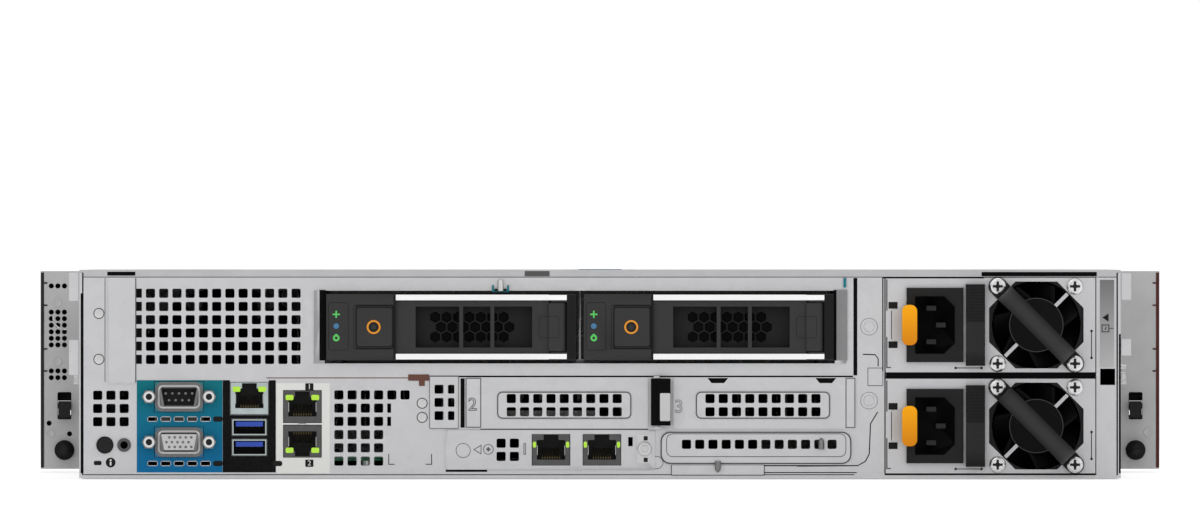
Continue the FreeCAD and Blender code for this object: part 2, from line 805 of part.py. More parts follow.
def usb_block():
    x = panel_left + management_from_left
    body = block(x - jack_width / 2, x + jack_width / 2, rear + panel_sheet, rear + usb_depth,
                 board_top, usb_block_top)
    for middle in usb_heights:
        face = rear - fit_gap
        body = body.fuse(block(x - usb_width / 2, x + usb_width / 2, face, rear + usb_depth,
                               middle - usb_height / 2, middle + usb_height / 2))
        cavity = block(x - usb_width / 2 + usb_sheet, x + usb_width / 2 - usb_sheet, face,
                       rear + usb_depth - panel_sheet,
                       middle - usb_height / 2 + usb_sheet, middle + usb_height / 2 - usb_sheet)
        tongue_top = middle + usb_height / 2 - 2 * usb_sheet
        tongue = block(x - usb_width / 2 + 3 * usb_sheet, x + usb_width / 2 - 3 * usb_sheet,
                       face + usb_sheet, rear + usb_depth, tongue_top - usb_tongue, tongue_top)
        body = body.cut(cavity).fuse(tongue)
    return body.removeSplitter()


parts["usb_ports"] = [usb_block()]
identify_x = panel_left + identify_from_left
parts["identify_button"] = [rod(identify_x, rear - identify_travel, identify_height, identify_radius,
                                identify_length, along_y)]


# ---- Expansion slots and network card
def slot_cover(right, shift):
    x = right - slot_cover_width / 2
    vent_x, vent_z = x + shift, slot_cover_sill + slot_hole_middle
    half_row = vent_pitch * (slot_hole_columns - 1) / 2
    hole_places = [(vent_x - half_row + vent_pitch * step, vent_z + rise)
                   for step in range(slot_hole_columns) for rise in slot_hole_rows]
    flat_y = rear - bracket_sheet
    raised_y = flat_y - slot_emboss_depth
    flat = outline(x, slot_middle, slot_cover_width, slot_cover_height, flat_y, vent_corner)
    raised = outline(vent_x, vent_z, slot_emboss_width, slot_emboss_height, raised_y, slot_emboss_corner)
    layers = []
    for sheet, y, depth in ((flat, flat_y, bracket_sheet), (raised, raised_y, slot_emboss_depth)):
        holes = [outline(hole_x, hole_z, vent_hole, vent_hole, y, vent_corner)
                 for hole_x, hole_z in hole_places]
        layers.append(plate(sheet, holes, depth))
    return joined(*layers)


parts["slot_covers"] = [slot_cover(right, shift) for right, shift in zip(slot_right, slot_hole_shifts)]


def slot_latch():
    top = latch_floor + fit_gap + slot_latch_height
    floor = latch_floor + fit_gap
    pivot_y = rear - hinge_setback - fit_gap
    body = block(latch_pivot, latch_left + slot_latch_width, rear - slot_latch_depth - fit_gap, rear - fit_gap,
                 floor, top)
    knuckle = rod(latch_pivot, pivot_y, floor, hinge_setback, top - floor, along_z)
    bore = rod(latch_pivot, pivot_y, floor, hinge_pin_radius + shaft_gap, top - floor, along_z)
    return joined(body, knuckle).cut(bore)


parts["slot_latch"] = [slot_latch()]


def network_card():
    y = rear - bracket_sheet
    sheet = outline(card_plate_left + card_width / 2, card_middle, card_width, card_height, y, vent_corner)
    holes = [outline(card_plate_left + x, card_middle, jack_width + 2 * port_gap, jack_height, y)
             for x in card_jack_centres]
    first_hole = card_plate_left + card_hole_left
    holes += vents(first_hole, first_hole + vent_pitch, card_middle - vent_pitch / 2,
                   card_middle + vent_pitch / 2, y)
    holes.append(outline(card_plate_left + card_slit_place[0], card_middle + card_slit_place[1],
                         card_slit_width, vent_hole, y))
    face = plate(sheet, holes, bracket_sheet)
    middle = card_plate_left + card_width / 2
    board_end = rear + panel_sheet + card_board_depth
    board = block(middle - card_board_width / 2, middle + card_board_width / 2, rear + panel_sheet, board_end,
                  card_board_floor, card_board_floor + board_sheet)
    sink = block(middle - card_sink / 2, middle + card_sink / 2, board_end - card_sink - jack_depth,
                 board_end - jack_depth, card_board_floor + board_sheet,
                 card_board_floor + board_sheet + card_sink_height)
    return [face, board, sink]


parts["network_card"] = network_card()


# ---- Power bay and power supplies
def power_bay():
    bay_top = psu_floors[1] + psu_height + bay_gap
    bay_end = rear + psu_bay_length
    column = block(column_left, bay_left, rear, rear + panel_sheet, wall, upper_panel_top)
    strip_middle = bay_right + bay_wall + label_strip_width / 2
    notch = outline(strip_middle, psu_floors[1] - psu_shelf, label_strip_width - 2 * edge_gap,
                    label_strip_width - edge_gap, rear)
    strip = plate(outline(strip_middle, (wall + upper_panel_top) / 2, label_strip_width,
                          upper_panel_top - wall, rear), [notch], panel_sheet)
    left_wall = block(bay_left - bay_wall, bay_left, rear, bay_end, wall, upper_panel_top)
    right_wall = block(bay_right, bay_right + bay_wall, rear, bay_end, wall, upper_panel_top)
    roof_start = rear + panel_sheet + fit_gap
    posts = [block(x, x + bay_wall, roof_start, bay_end, wall, bay_top + bracket_sheet)
             for x in (bay_left - bay_wall, bay_right)]
    roof = block(bay_left, bay_right, roof_start, bay_end, bay_top, bay_top + bracket_sheet)
    shelf_top = psu_floors[1] - bay_gap
    shelf = block(bay_left, bay_right, roof_start, bay_end, shelf_top - psu_shelf, shelf_top)
    return joined(column, strip, left_wall, right_wall, roof, shelf, *posts)


parts["psu_bay"] = [power_bay()]
psu_left = bay_left + bay_gap
psu_right = psu_left + psu_width
fan_x = psu_left + psu_fan_left


def fan_opening(x, z, width, height):
    """Eight-sided opening with its corners cut back to leave room for the screws."""
    right, top = width / 2, height / 2
    cut = psu_fan_corner
    corners = ((right, top - cut), (right - cut, top), (cut - right, top), (-right, top - cut),
               (-right, cut - top), (cut - right, -top), (right - cut, -top), (right, cut - top))
    points = [V(x + dx, rear, z + dz) for dx, dz in corners]
    return Part.Face(Part.makePolygon(points + points[:1])).extrude(V(0, psu_sheet, 0))


def fan_frame(x, y, z, width, height, depth, bore, hub):
    """Square frame with struts that carry the rotor's bearing at its far end."""
    body = block(x - width / 2, x + width / 2, y, y + depth, z - height / 2, z + height / 2)
    body = body.cut(rod(x, y, z, bore, depth, along_y))
    reach = (bore + min(width, height) / 2) / 2
    struts = [block(x - half_x, x + half_x, y + depth - bearing_depth, y + depth, z - half_z, z + half_z)
              for half_x, half_z in ((reach, strut_width / 2), (strut_width / 2, reach))]
    bearing = rod(x, y + depth - bearing_depth, z, hub, bearing_depth, along_y)
    bore_hole = rod(x, y + depth - bearing_depth, z, shaft_radius + shaft_gap, bearing_depth, along_y)
    return joined(body, bearing, *struts).cut(bore_hole)


def fan_rotor(x, y, z, depth, tip, hub):
    """Hub, shaft and slanted blades, trimmed to a running gap inside the frame."""
    start = y + fit_gap
    length = depth - bearing_depth - 2 * fit_gap
    body = rod(x, start, z, hub, length, along_y)
    shaft = rod(x, start + length, z, shaft_radius, bearing_depth, along_y)
    chord = (length - 2 * fit_gap) / cos(radians(blade_angle)) - blade_thickness
    blades = []
    for number in range(fan_blades):
        blade = Part.makeBox(blade_thickness, chord, tip, V(-blade_thickness / 2, -chord / 2, 0))
        blade.rotate(V(0, 0, 0), along_z, blade_angle)
        blade.rotate(V(0, 0, 0), along_y, 360 / fan_blades * number)
        blade.translate(V(x, start + length / 2, z))
        blades.append(blade)
    disc = rod(x, start, z, tip, length, along_y)
    swept = blades[0].fuse(blades[1:]).common(disc)
    return joined(body, shaft, swept)


def psu_case(floor):
    body = shell(psu_left, psu_right, rear, rear + psu_length, floor, floor + psu_height, psu_sheet)
    middle = floor + psu_height / 2
    inlet = block(psu_left + inlet_left, psu_left + inlet_left + inlet_width, rear, rear + psu_sheet,
                  middle - inlet_height / 2, middle + inlet_height / 2)
    latch_start = psu_left + psu_latch_left
    latch_slot = block(latch_start - fit_gap, latch_start + psu_latch_stem + psu_latch_travel + fit_gap,
                       rear, rear + psu_sheet, middle - psu_latch_stem_height / 2 - fit_gap,
                       middle + psu_latch_stem_height / 2 + fit_gap)
    outlets = [block(x, x + vent_hole, rear + psu_length - psu_sheet, rear + psu_length,
                     floor + vent_pitch, floor + psu_height - vent_pitch)
               for x in places(psu_left + vent_pitch, psu_right - 2 * vent_pitch, 2 * vent_pitch)]
    opening = fan_opening(fan_x, middle, psu_fan_width - 2 * psu_sheet, psu_fan_height - psu_sheet)
    body = body.cut([inlet, latch_slot, opening] + outlets)
    inner_fan = fan_frame(fan_x, rear + psu_sheet, middle, psu_fan_width, psu_height - 2 * psu_sheet,
                          psu_fan_depth, psu_fan_height / 2, psu_fan_hub)
    return [body, inner_fan]


def psu_handle(middle):
    """Arched band from the upper left screw to the lower right screw of the fan."""
    span = psu_fan_screw * 2 ** 0.5
    foot = span / 2 - psu_screw_head - fit_gap
    arch = block(-foot, foot, -handle_reach, 0, -handle_band / 2, handle_band / 2)
    arch = rounded_top(arch, -handle_reach, 3 * handle_thickness)
    hollow = block(handle_thickness - foot, foot - handle_thickness, handle_thickness - handle_reach, 0,
                   -handle_band / 2, handle_band / 2)
    hollow = rounded_top(hollow, handle_thickness - handle_reach, 2 * handle_thickness)
    eyes = [block(-span / 2, -foot + handle_thickness, -handle_eye, 0, -handle_band / 2, handle_band / 2),
            block(foot - handle_thickness, span / 2, -handle_eye, 0, -handle_band / 2, handle_band / 2)]
    eyes += [rod(side * span / 2, -handle_eye, 0, handle_band / 2, handle_eye, along_y) for side in (-1, 1)]
    handle = joined(arch.cut(hollow), *eyes)
    handle.rotate(V(0, 0, 0), along_y, 45)
    handle.translate(V(fan_x, rear, middle))
    return handle


def rounded_top(shape, level, radius):
    """Round the two crosswise edges at the outer end of an arch."""
    crosswise = [edge for edge in shape.Edges
                 if all(abs(vertex.Y - level) < 1e-6 for vertex in edge.Vertexes)
                 and abs(edge.Vertexes[0].Z - edge.Vertexes[1].Z) > 1e-6]
    return shape.makeFillet(radius, crosswise)


def psu_screws(middle):
    half = psu_fan_screw / 2
    screws = []
    for side_x in (-1, 1):
        for side_z in (-1, 1):
            seat = rear - (handle_eye if side_x != side_z else 0)
            screws.append(rod(fan_x + side_x * half, seat - screw_head_height, middle + side_z * half,
                              psu_screw_head, screw_head_height, along_y))
    return screws


def mains_inlet(middle):
    left = psu_left + inlet_left
    x = left + inlet_width / 2
    front_y = rear - inlet_proud
    body = block(left, left + inlet_width, front_y, rear + inlet_depth,
                 middle - inlet_height / 2, middle + inlet_height / 2)
    right, top = socket_width / 2, socket_height / 2
    corners = ((-right, -top), (right - socket_chamfer, -top), (right, socket_chamfer - top),
               (right, top - socket_chamfer), (right - socket_chamfer, top), (-right, top), (-right, -top))
    mouth = Part.makePolygon([V(x + dx, front_y, middle + dz) for dx, dz in corners])
    cavity = Part.Face(mouth).extrude(V(0, socket_depth, 0))
    pins = []
    for offset, rise in ((-pin_offset, pin_spacing), (earth_pin_offset, 0), (-pin_offset, -pin_spacing)):
        pins.append(block(x + offset - pin_width / 2, x + offset + pin_width / 2, front_y + pin_clear,
                          front_y + socket_depth, middle + rise - pin_thickness / 2,
                          middle + rise + pin_thickness / 2))
    return [body.cut(cavity)] + pins


def cord_strap(middle):
    left = psu_left + strap_left
    band = block(left, left + strap_width, rear - strap_proud - strap_thickness, rear - strap_proud,
                 middle - strap_height / 2, middle + strap_height / 2)
    feet = [block(left, left + strap_width, rear - strap_proud, rear,
                  middle + side * (strap_height - strap_thickness) / 2 - strap_thickness / 2,
                  middle + side * (strap_height - strap_thickness) / 2 + strap_thickness / 2)
            for side in (-1, 1)]
    return joined(band, *feet)


def psu_latch(middle):
    stem_left = psu_left + psu_latch_left
    stem_rise = psu_latch_stem_height / 2
    tab_left = stem_left + psu_latch_web
    outer = rear - psu_latch_reach
    stem = block(stem_left, stem_left + psu_latch_stem, outer, rear + psu_latch_tail,
                 middle - stem_rise, middle + stem_rise)
    web = block(stem_left, tab_left, outer, outer + psu_latch_sheet, middle - stem_rise, middle + stem_rise)
    tab = block(tab_left, tab_left + psu_latch_tab, outer, outer + psu_latch_sheet,
                middle - psu_latch_height / 2, middle + psu_latch_height / 2)
    return joined(stem, web, tab)


for name, floor in zip(psu_names, psu_floors):
    middle = floor + psu_height / 2
    parts["psu_case_" + name] = psu_case(floor)
    parts["psu_fittings_" + name] = mains_inlet(middle) + [cord_strap(middle)] + psu_screws(middle)
    parts["psu_handle_" + name] = [psu_handle(middle)]
    parts["psu_latch_" + name] = [psu_latch(middle)]
    parts["psu_rotor_" + name] = [fan_rotor(fan_x, rear + psu_sheet, middle, psu_fan_depth,
                                            psu_fan_height / 2 - fan_tip_gap, psu_fan_hub)]


# ---- Rear drive cage
def rear_drive_cage():
    start = rear + panel_sheet
    board_start = sled_face + carrier_length + backplane_gap
    end = board_start + rear_cage_tail
    outer = block(opening_left - bracket_sheet, opening_right + bracket_sheet, start, end,
                  rear_opening_sill - bracket_sheet, opening_top + bracket_sheet)
    hollow = block(opening_left, opening_right, start, end, rear_opening_sill, opening_top)
    middle = sled_left[1] - column_gap / 2
    ledge_start = sled_face + bezel_depth + 2 * fit_gap
    divider = block(middle - bracket_sheet / 2, middle + bracket_sheet / 2, ledge_start, board_start,
                    rear_opening_sill, opening_top)
    under = sled_floor + carrier_sill
    ledges = []
    for left in sled_left:
        reach = column_gap / 2 - rail_left
        for x in (left - reach, left + bezel_width + reach - ledge_width):
            ledges.append(block(x, x + ledge_width, ledge_start, board_start,
                                rear_opening_sill, under - fit_gap))
    guides = [block(x, x + rear_opening_margin - 2 * fit_gap, rear - strip_proud, ledge_start,
                    rear_opening_sill, opening_top)
              for x in (opening_left, opening_right - rear_opening_margin + 2 * fit_gap)]
    cage = joined(outer.cut(hollow), divider, *(ledges + guides))
    board = block(opening_left, opening_right, board_start, board_start + board_sheet,
                  rear_opening_sill, opening_top)
    level = (rear_opening_sill + opening_top) / 2
    sockets = [block(left + (bezel_width - connector_width) / 2, left + (bezel_width + connector_width) / 2,
                     board_start - connector_depth, board_start, level - connector_height / 2,
                     level + connector_height / 2) for left in sled_left]
    return [cage, board] + sockets


parts["rear_drive_cage"] = rear_drive_cage()


# ---- System board and what stands on it
side_clear = 4 * wall
board_left = left_side + side_clear
board_right = right_side - side_clear


def system_board():
    deep = block(board_left, board_right, processor_start, fan_start - side_clear, board_floor, board_top)
    shallow = block(board_left, bay_left - side_clear, rear + 2 * panel_sheet, processor_start,
                    board_floor, board_top)
    notch = block(card_plate_left - fit_gap, card_plate_left + card_width + fit_gap, rear,
                  rear + card_board_depth + 2 * side_clear, board_floor, board_top)
    chips = [block(x - chip_size / 2, x + chip_size / 2, chip_start, chip_start + chip_size,
                   board_top, board_top + chip_height)
             for x in (dsub_x, panel_left + network_from_left)]
    return [joined(deep, shallow).cut(notch)] + chips


chip_start = rear + 2 * chip_size
parts["circuit_boards"] = system_board() + front_backplane()
bank_width = (memory_per_bank - 1) * memory_pitch + memory_socket_width
processor_spacing = sink_width + 2 * bank_width + 4 * memory_socket_width
processor_xs = [processor_spacing * (number - (processor_count - 1) / 2) for number in range(processor_count)]
zone_middle = (processor_start + fan_start) / 2


def heat_sinks():
    solids = []
    for x in processor_xs:
        top = board_top + processor_height
        solids.append(block(x - processor_size / 2, x + processor_size / 2, zone_middle - processor_size / 2,
                            zone_middle + processor_size / 2, board_top, top))
        start, end = zone_middle - sink_depth / 2, zone_middle + sink_depth / 2
        base = block(x - sink_width / 2, x + sink_width / 2, start, end, top, top + sink_base)
        fin_pitch = (sink_width - fin_sheet) / (sink_fins - 1)
        fins = [block(left, left + fin_sheet, start, end, top + sink_base, top + sink_height)
                for left in [x - sink_width / 2 + fin_pitch * number for number in range(sink_fins)]]
        solids.append(joined(base, *fins))
    return solids


parts["heat_sinks"] = heat_sinks()


def memory_modules():
    solids = []
    start, end = zone_middle - memory_length / 2, zone_middle + memory_length / 2
    socket_top = board_top + memory_socket_height
    for processor_x in processor_xs:
        for side in (-1, 1):
            first = processor_x + side * (sink_width / 2 + 1.5 * memory_socket_width)
            for number in range(memory_per_bank):
                x = first + side * memory_pitch * number
                solids.append(block(x - memory_socket_width / 2, x + memory_socket_width / 2, start, end,
                                    board_top, socket_top))
                solids.append(block(x - memory_sheet / 2, x + memory_sheet / 2, start, end,
                                    socket_top, board_top + memory_height))
    return solids


parts["memory_modules"] = memory_modules()


def air_shroud():
    half = processor_xs[-1] + sink_width / 2 + bank_width + 2 * memory_socket_width
    start = zone_middle - memory_length / 2 - side_clear
    end = fan_start - side_clear
    top = ceiling - shroud_top_gap
    outer = block(-half, half, start, end, board_top, top)
    hollow = block(shroud_sheet - half, half - shroud_sheet, start, end, board_top, top - shroud_sheet)
    return outer.cut(hollow)


parts["air_shroud"] = [air_shroud()]


# ---- Chassis fans
fan_cage_start = fan_start + fan_cage_setback
fan_y = fan_cage_start + bracket_sheet
fan_z = wall + fan_size / 2
fan_bore = fan_size / 2 - fan_frame_wall
fan_pitch = (body_width - 2 * wall - 2 * side_clear) / fan_count
fan_xs = [fan_pitch * (number - (fan_count - 1) / 2) for number in range(fan_count)]
parts["fan_frames"] = [fan_frame(x, fan_y, fan_z, fan_size, fan_size, fan_depth, fan_bore, fan_hub)
                       for x in fan_xs]
for number, x in enumerate(fan_xs):
    parts["fan_rotor_%d" % (number + 1)] = [
        fan_rotor(x, fan_y, fan_z, fan_depth, fan_bore - fan_tip_gap, fan_hub)]


def fan_cage():
    half = fan_pitch * fan_count / 2
    top = wall + fan_size + bracket_sheet + fit_gap
    walls = [plate(outline(0, (wall + top) / 2, 2 * half, top - wall, y),
                   [ring(x, fan_z, fan_bore, y) for x in fan_xs], bracket_sheet)
             for y in (fan_cage_start, fan_y + fan_depth)]
    dividers = [block(x - bracket_sheet / 2, x + bracket_sheet / 2, fan_y, fan_y + fan_depth, wall, top)
                for x in [fan_pitch * (number + 1) - half for number in range(fan_count - 1)]]
    return joined(*(walls + dividers))


parts["fan_cage"] = [fan_cage()]


# ---- Rack ears, their covers, latches and buttons
def ear_bracket(with_vents):
    middle_z = body_height / 2
    height = body_height - 2 * ear_margin
    y = ear_plane - ear_sheet
    holes = [outline(ear_fixing, ear_slot_middle, ear_slot_width, ear_slot_height, y, vent_corner),
             ring(ear_fixing, rack_screw_height, rack_collar_radius + seat_gap, y)]
    if with_vents:
        rows = places(ear_hole_sill, ear_hole_top, ear_hole_pitch) + list(ear_outlying_rows)
        vent_places = [(ear_hole_pitch * column, z) for column in range(ear_hole_columns) for z in rows]
        holes += [ring(ear_fixing + x, z, ear_hole_radius, y)
                  for x, z in vent_places + list(ear_single_holes)]
    face = plate(outline(right_side + ear_reach / 2, middle_z, ear_reach, height, y), holes, ear_sheet)
    flange = block(right_side, right_side + ear_flange_sheet, ear_plane - ear_flange_length, ear_plane,
                   ear_margin, body_height - ear_margin)
    return joined(face, flange)


def ear_cover(with_button):
    outer_x0, outer_x1 = right_side + fit_gap, ear_edge - fit_gap
    top, bottom = body_height - ear_margin, ear_margin
    outer = block(outer_x0, outer_x1, ear_plane, front, bottom, top)
    hollow = block(outer_x0 + ear_cover_wall, outer_x1 - ear_cover_wall, ear_plane, front - ear_cover_wall,
                   bottom + ear_cover_wall, top - ear_cover_wall)
    finger_room = block(ear_fixing - ear_window_width / 2, ear_fixing + ear_window_width / 2,
                        front - ear_cover_wall, front, ear_slot_middle - ear_window_below,
                        ear_slot_middle + ear_window_above)
    screw_hole = rod(ear_fixing, front - ear_cover_wall, rack_screw_height, rack_head_radius + fit_gap,
                     ear_cover_wall, along_y)
    cuts = [hollow, finger_room, screw_hole]
    if with_button:
        cuts.append(rod(ear_fixing, front - ear_cover_wall, power_button_height,
                        power_button_radius + fit_gap, ear_cover_wall, along_y))
    pin = rod(outer_x0, ear_plane + rack_latch_pivot, ear_slot_middle, rack_pin_radius,
              outer_x1 - outer_x0, along_x)
    return joined(outer.cut(cuts), pin)


def rack_latch():
    pivot = ear_plane + rack_latch_pivot
    half = rack_latch_width / 2
    arm = block(ear_fixing - half, ear_fixing + half, pivot - rack_latch_back, pivot + rack_latch_front,
                ear_slot_middle - rack_latch_thick / 2, ear_slot_middle + rack_latch_thick / 2)
    hook = block(ear_fixing - half, ear_fixing + half, pivot - rack_latch_back,
                 pivot - rack_latch_back + rack_latch_hook,
                 ear_slot_middle - rack_latch_thick / 2 - rack_latch_hook, ear_slot_middle)
    bore = rod(ear_fixing - half, pivot, ear_slot_middle, rack_pin_radius + shaft_gap,
               rack_latch_width, along_x)
    return joined(arm, hook).cut(bore)


def mirrored(shape):
    return shape.mirror(V(0, 0, 0), along_x)


parts["ear_brackets"] = [ear_bracket(False), mirrored(ear_bracket(True))]
parts["ear_covers"] = [ear_cover(False), mirrored(ear_cover(True))]
parts["rack_latch_right"] = [rack_latch()]
parts["rack_latch_left"] = [mirrored(rack_latch())]
parts["power_button"] = [rod(-ear_fixing, front - power_button_depth, power_button_height,
                             power_button_radius, power_button_depth, along_y)]


# ---- Lid and its latch
pan_floor = ceiling - lid_latch_depth + lid_latch_thick
latch_end = rear + lid_latch_from_rear
latch_start = latch_end - lid_latch_length
lid_hinge_radius = lid_latch_thick / 2
lid_hinge_y = latch_end - lid_hinge_radius
lid_hinge_z = body_height - lid_hinge_radius


def lid():
    sheet = block(left_side, right_side, rear, lid_front, ceiling, body_height)
    lip = block(panel_left, panel_right, rear, rear + cover_sheet, body_height - lid_lip, ceiling)
    half = lid_latch_width / 2 + 2 * fit_gap
    pocket = (-half, half, latch_start - lid_finger_room, latch_end + 2 * fit_gap)
    pan = block(pocket[0] - panel_sheet, pocket[1] + panel_sheet, pocket[2] - panel_sheet,
                pocket[3] + panel_sheet, pan_floor - panel_sheet, body_height)
    room = block(*pocket, pan_floor, body_height)
    pin = rod(pocket[0], lid_hinge_y, lid_hinge_z, hinge_pin_radius, 2 * half, along_x)
    hook_x = right_side - wall - fit_gap
    hook_room = (fan_start - processor_start) / lid_hooks
    hooks = [block(x, x + cover_sheet, y, y + lid_hook_length, ceiling - lid_hook_height, ceiling)
             for x in (hook_x - cover_sheet, -hook_x)
             for y in [processor_start + hook_room * number for number in range(lid_hooks)]]
    return joined(joined(sheet, lip, pan, *hooks).cut(room), pin)


def lid_latch():
    half = lid_latch_width / 2
    body = block(-half, half, latch_start, lid_hinge_y, body_height - lid_latch_thick, body_height)
    knuckle = rod(-half, lid_hinge_y, lid_hinge_z, lid_hinge_radius, lid_latch_width, along_x)
    bore = rod(-half, lid_hinge_y, lid_hinge_z, hinge_pin_radius + shaft_gap, lid_latch_width, along_x)
    return joined(body, knuckle).cut(bore)


parts["top_cover"] = [lid()]
parts["cover_latch"] = [lid_latch()]


# ---- Small fixed hardware
def rivets():
    left_places = [(panel_left + rivet_from_left, height) for height in upper_rivets]
    right_places = [(slot_left - rivet_from_right, height) for height in lower_rivets]
    return [rod(x, rear - rivet_proud, z, rivet_radius, rivet_proud, along_y)
            for x, z in left_places + right_places]


def jack_posts():
    return [rod(dsub_x + side * dsub_post_spacing / 2, rear - dsub_post_reach, height, dsub_post_radius,
                dsub_post_reach, along_y) for side in (-1, 1) for height in (video_height, serial_height)]


def standoffs():
    ys = (rear + standoff_inset, processor_start - standoff_inset, fan_start - standoff_inset)
    xs = (board_left + standoff_inset, processor_xs[0], bay_left - standoff_inset)
    rods = [rod(x, y, wall, standoff_radius, board_height, along_z) for x in xs for y in ys]
    card_y = rear + card_board_depth - standoff_inset
    card_xs = (card_plate_left + standoff_inset, card_plate_left + card_width - standoff_inset)
    return rods + [rod(x, card_y, wall, standoff_radius, card_board_floor - wall, along_z) for x in card_xs]


def rail_studs():
    spacing = (cage_start - rear) / stud_count
    ys = [rear + spacing * (number + 0.5) for number in range(stud_count)]
    return [rod(x, y, stud_height, stud_radius, stud_reach, along_x)
            for x in (left_side - stud_reach, right_side) for y in ys]


def rack_screws():
    screws = []
    for x in (-ear_fixing, ear_fixing):
        tail = ear_plane - ear_sheet - rack_collar_length
        shank = rod(x, tail - rack_shank_reach, rack_screw_height, rack_screw_radius,
                    front - rack_head_length - tail + rack_shank_reach, along_y)
        collar = rod(x, tail, rack_screw_height, rack_collar_radius, ear_sheet + rack_collar_length, along_y)
        head = rod(x, front - rack_head_length, rack_screw_height, rack_head_radius, rack_head_length, along_y)
        screws.append(joined(shank, collar, head))
    return screws


parts["chassis_fasteners"] = rivets() + jack_posts() + standoffs() + rail_studs() + rack_screws()


def write_parts():
    os.makedirs("parts", exist_ok=True)
    for name, solids in parts.items():
        shape = solids[0] if len(solids) == 1 else Part.makeCompound(solids)
        shape.exportStep("parts/%s.step" % name)


write_parts()
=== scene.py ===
"""Finishes, marks and small fittings of a two-unit rack server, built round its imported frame."""

import json
import math

import bmesh
import bpy
from mathutils import Matrix, Vector

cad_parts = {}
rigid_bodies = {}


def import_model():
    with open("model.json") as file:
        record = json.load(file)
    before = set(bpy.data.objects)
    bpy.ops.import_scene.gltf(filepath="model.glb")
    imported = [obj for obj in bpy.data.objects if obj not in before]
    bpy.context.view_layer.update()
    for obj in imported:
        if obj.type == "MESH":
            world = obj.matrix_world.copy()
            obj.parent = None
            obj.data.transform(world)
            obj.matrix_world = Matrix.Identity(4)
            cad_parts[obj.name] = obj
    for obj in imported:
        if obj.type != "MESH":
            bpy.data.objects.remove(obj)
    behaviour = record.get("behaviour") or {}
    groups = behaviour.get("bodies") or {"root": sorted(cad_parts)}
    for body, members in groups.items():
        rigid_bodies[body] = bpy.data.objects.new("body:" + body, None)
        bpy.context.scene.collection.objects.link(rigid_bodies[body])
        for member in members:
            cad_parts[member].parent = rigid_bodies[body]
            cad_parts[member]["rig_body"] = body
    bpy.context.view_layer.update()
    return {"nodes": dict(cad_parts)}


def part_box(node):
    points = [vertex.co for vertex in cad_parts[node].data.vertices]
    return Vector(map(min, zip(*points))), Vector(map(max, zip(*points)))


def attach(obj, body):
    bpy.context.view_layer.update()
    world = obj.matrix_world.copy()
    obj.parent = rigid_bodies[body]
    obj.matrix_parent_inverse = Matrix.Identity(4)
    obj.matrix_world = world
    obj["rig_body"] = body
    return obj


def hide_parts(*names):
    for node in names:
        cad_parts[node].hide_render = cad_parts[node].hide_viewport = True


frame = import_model()
NODES = frame["nodes"]
MM = 0.001
SIDES = ("left", "right")
LEVELS = ("lower", "upper")
FRONT_CARRIERS = [f"front_carrier_{number}" for number in range(1, 13)]

bl_info = {
    "name": "Rack server looks",
    "version": (1, 0, 0),
    "blender": (4, 5, 0),
    "location": "3D View > Sidebar > Rack server",
    "description": "Dresses the frame of a two-unit rack server with finishes, marks and fittings",
    "category": "Object",
}


def box_mm(node):
    """Lowest and highest corner of a frame node, in millimetres."""
    low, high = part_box(node)
    return low / MM, high / MM


def body_of(node):
    """The body that a frame node rides on."""
    return NODES[node]["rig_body"]


def centre(low, high):
    """Middle of a box as the rear wall shows it, (x, z)."""
    return (low.x + high.x) / 2, (low.z + high.z) / 2


IO_LOW = box_mm("rear_io_panel")[0]
COVERS_LOW = box_mm("slot_covers")[0]
CARD_LOW = box_mm("network_card")[0]
BAY_LOW, BAY_HIGH = box_mm("psu_bay")
LID_LOW, LID_HIGH = box_mm("top_cover")
EARS_LOW, EARS_HIGH = box_mm("ear_covers")

# Places and pitches that several pieces share, in millimetres.
WALL = IO_LOW.y          # outer face of the rear wall
PLATE = WALL - 0.8       # outer face of the slot plates
TAB = WALL - 0.5         # outer face of the low tab and of the joint hook
# Past this depth a socket is painted near black: partly its dark moulding, partly painted shade on the metal
# inside its mouth.
MOUTH = WALL + 0.25      # depth at which a shell turns into the dark inside of its socket
LEFT = IO_LOW.x          # left end of the socket panel
DSUB_X = LEFT + 39.8     # middle of the monitor and serial sockets
JACK_X = LEFT + 69.1     # middle of the management and fast serial sockets
LINK_X = LEFT + 91.2     # middle of the network sockets
DSUB_INSET = 6.2         # from the end of the pair of shells to the middle of a shell
SLOT_PITCH = 5.515       # between the slots of a vent
SUPPLY_PITCH = 42.1      # between the power supplies
FAN_INSET = 62.8         # from the left side of a supply to the middle of its fan
CARRIER_PITCH = 28.2     # between front carriers, one above another
BEZEL_DEPTH = 9.9        # of the moulding in front of a carrier's steel rails
HANDLE_HEIGHT = 27.0     # of a carrier handle
HANDLE_FLANGE = 2.35     # height of the bright rail of a carrier handle
HANDLE_FOOT = 0.3        # from the foot of a carrier to that of its handle

# Edges sharper than the first stay sharp, and those sharper than the second can be softened.
SHARP_ANGLE, SOFTENED_ANGLE = math.radians(32), math.radians(40)

# Sheen of dark surfaces; that of bare plastic is 0.5.
PIT_SHEEN, LABEL_SHEEN, INK_SHEEN, PLASTIC_SHEEN, TAB_SHEEN = 0.02, 0.04, 0.1, 0.12, 0.15


# ---- Settings
def tint(label, words, colour):
    """A colour that the sidebar shows."""
    return bpy.props.FloatVectorProperty(name=label, description=words, subtype="COLOR", size=3,
                                         min=0.0, max=1.0, default=colour)


def length(label, words, millimetres):
    """A length that the sidebar shows."""
    return bpy.props.FloatProperty(name=label, description=words, subtype="DISTANCE", unit="LENGTH",
                                   min=0.0, default=millimetres * MM)


def grey(value):
    return (value, value, value)


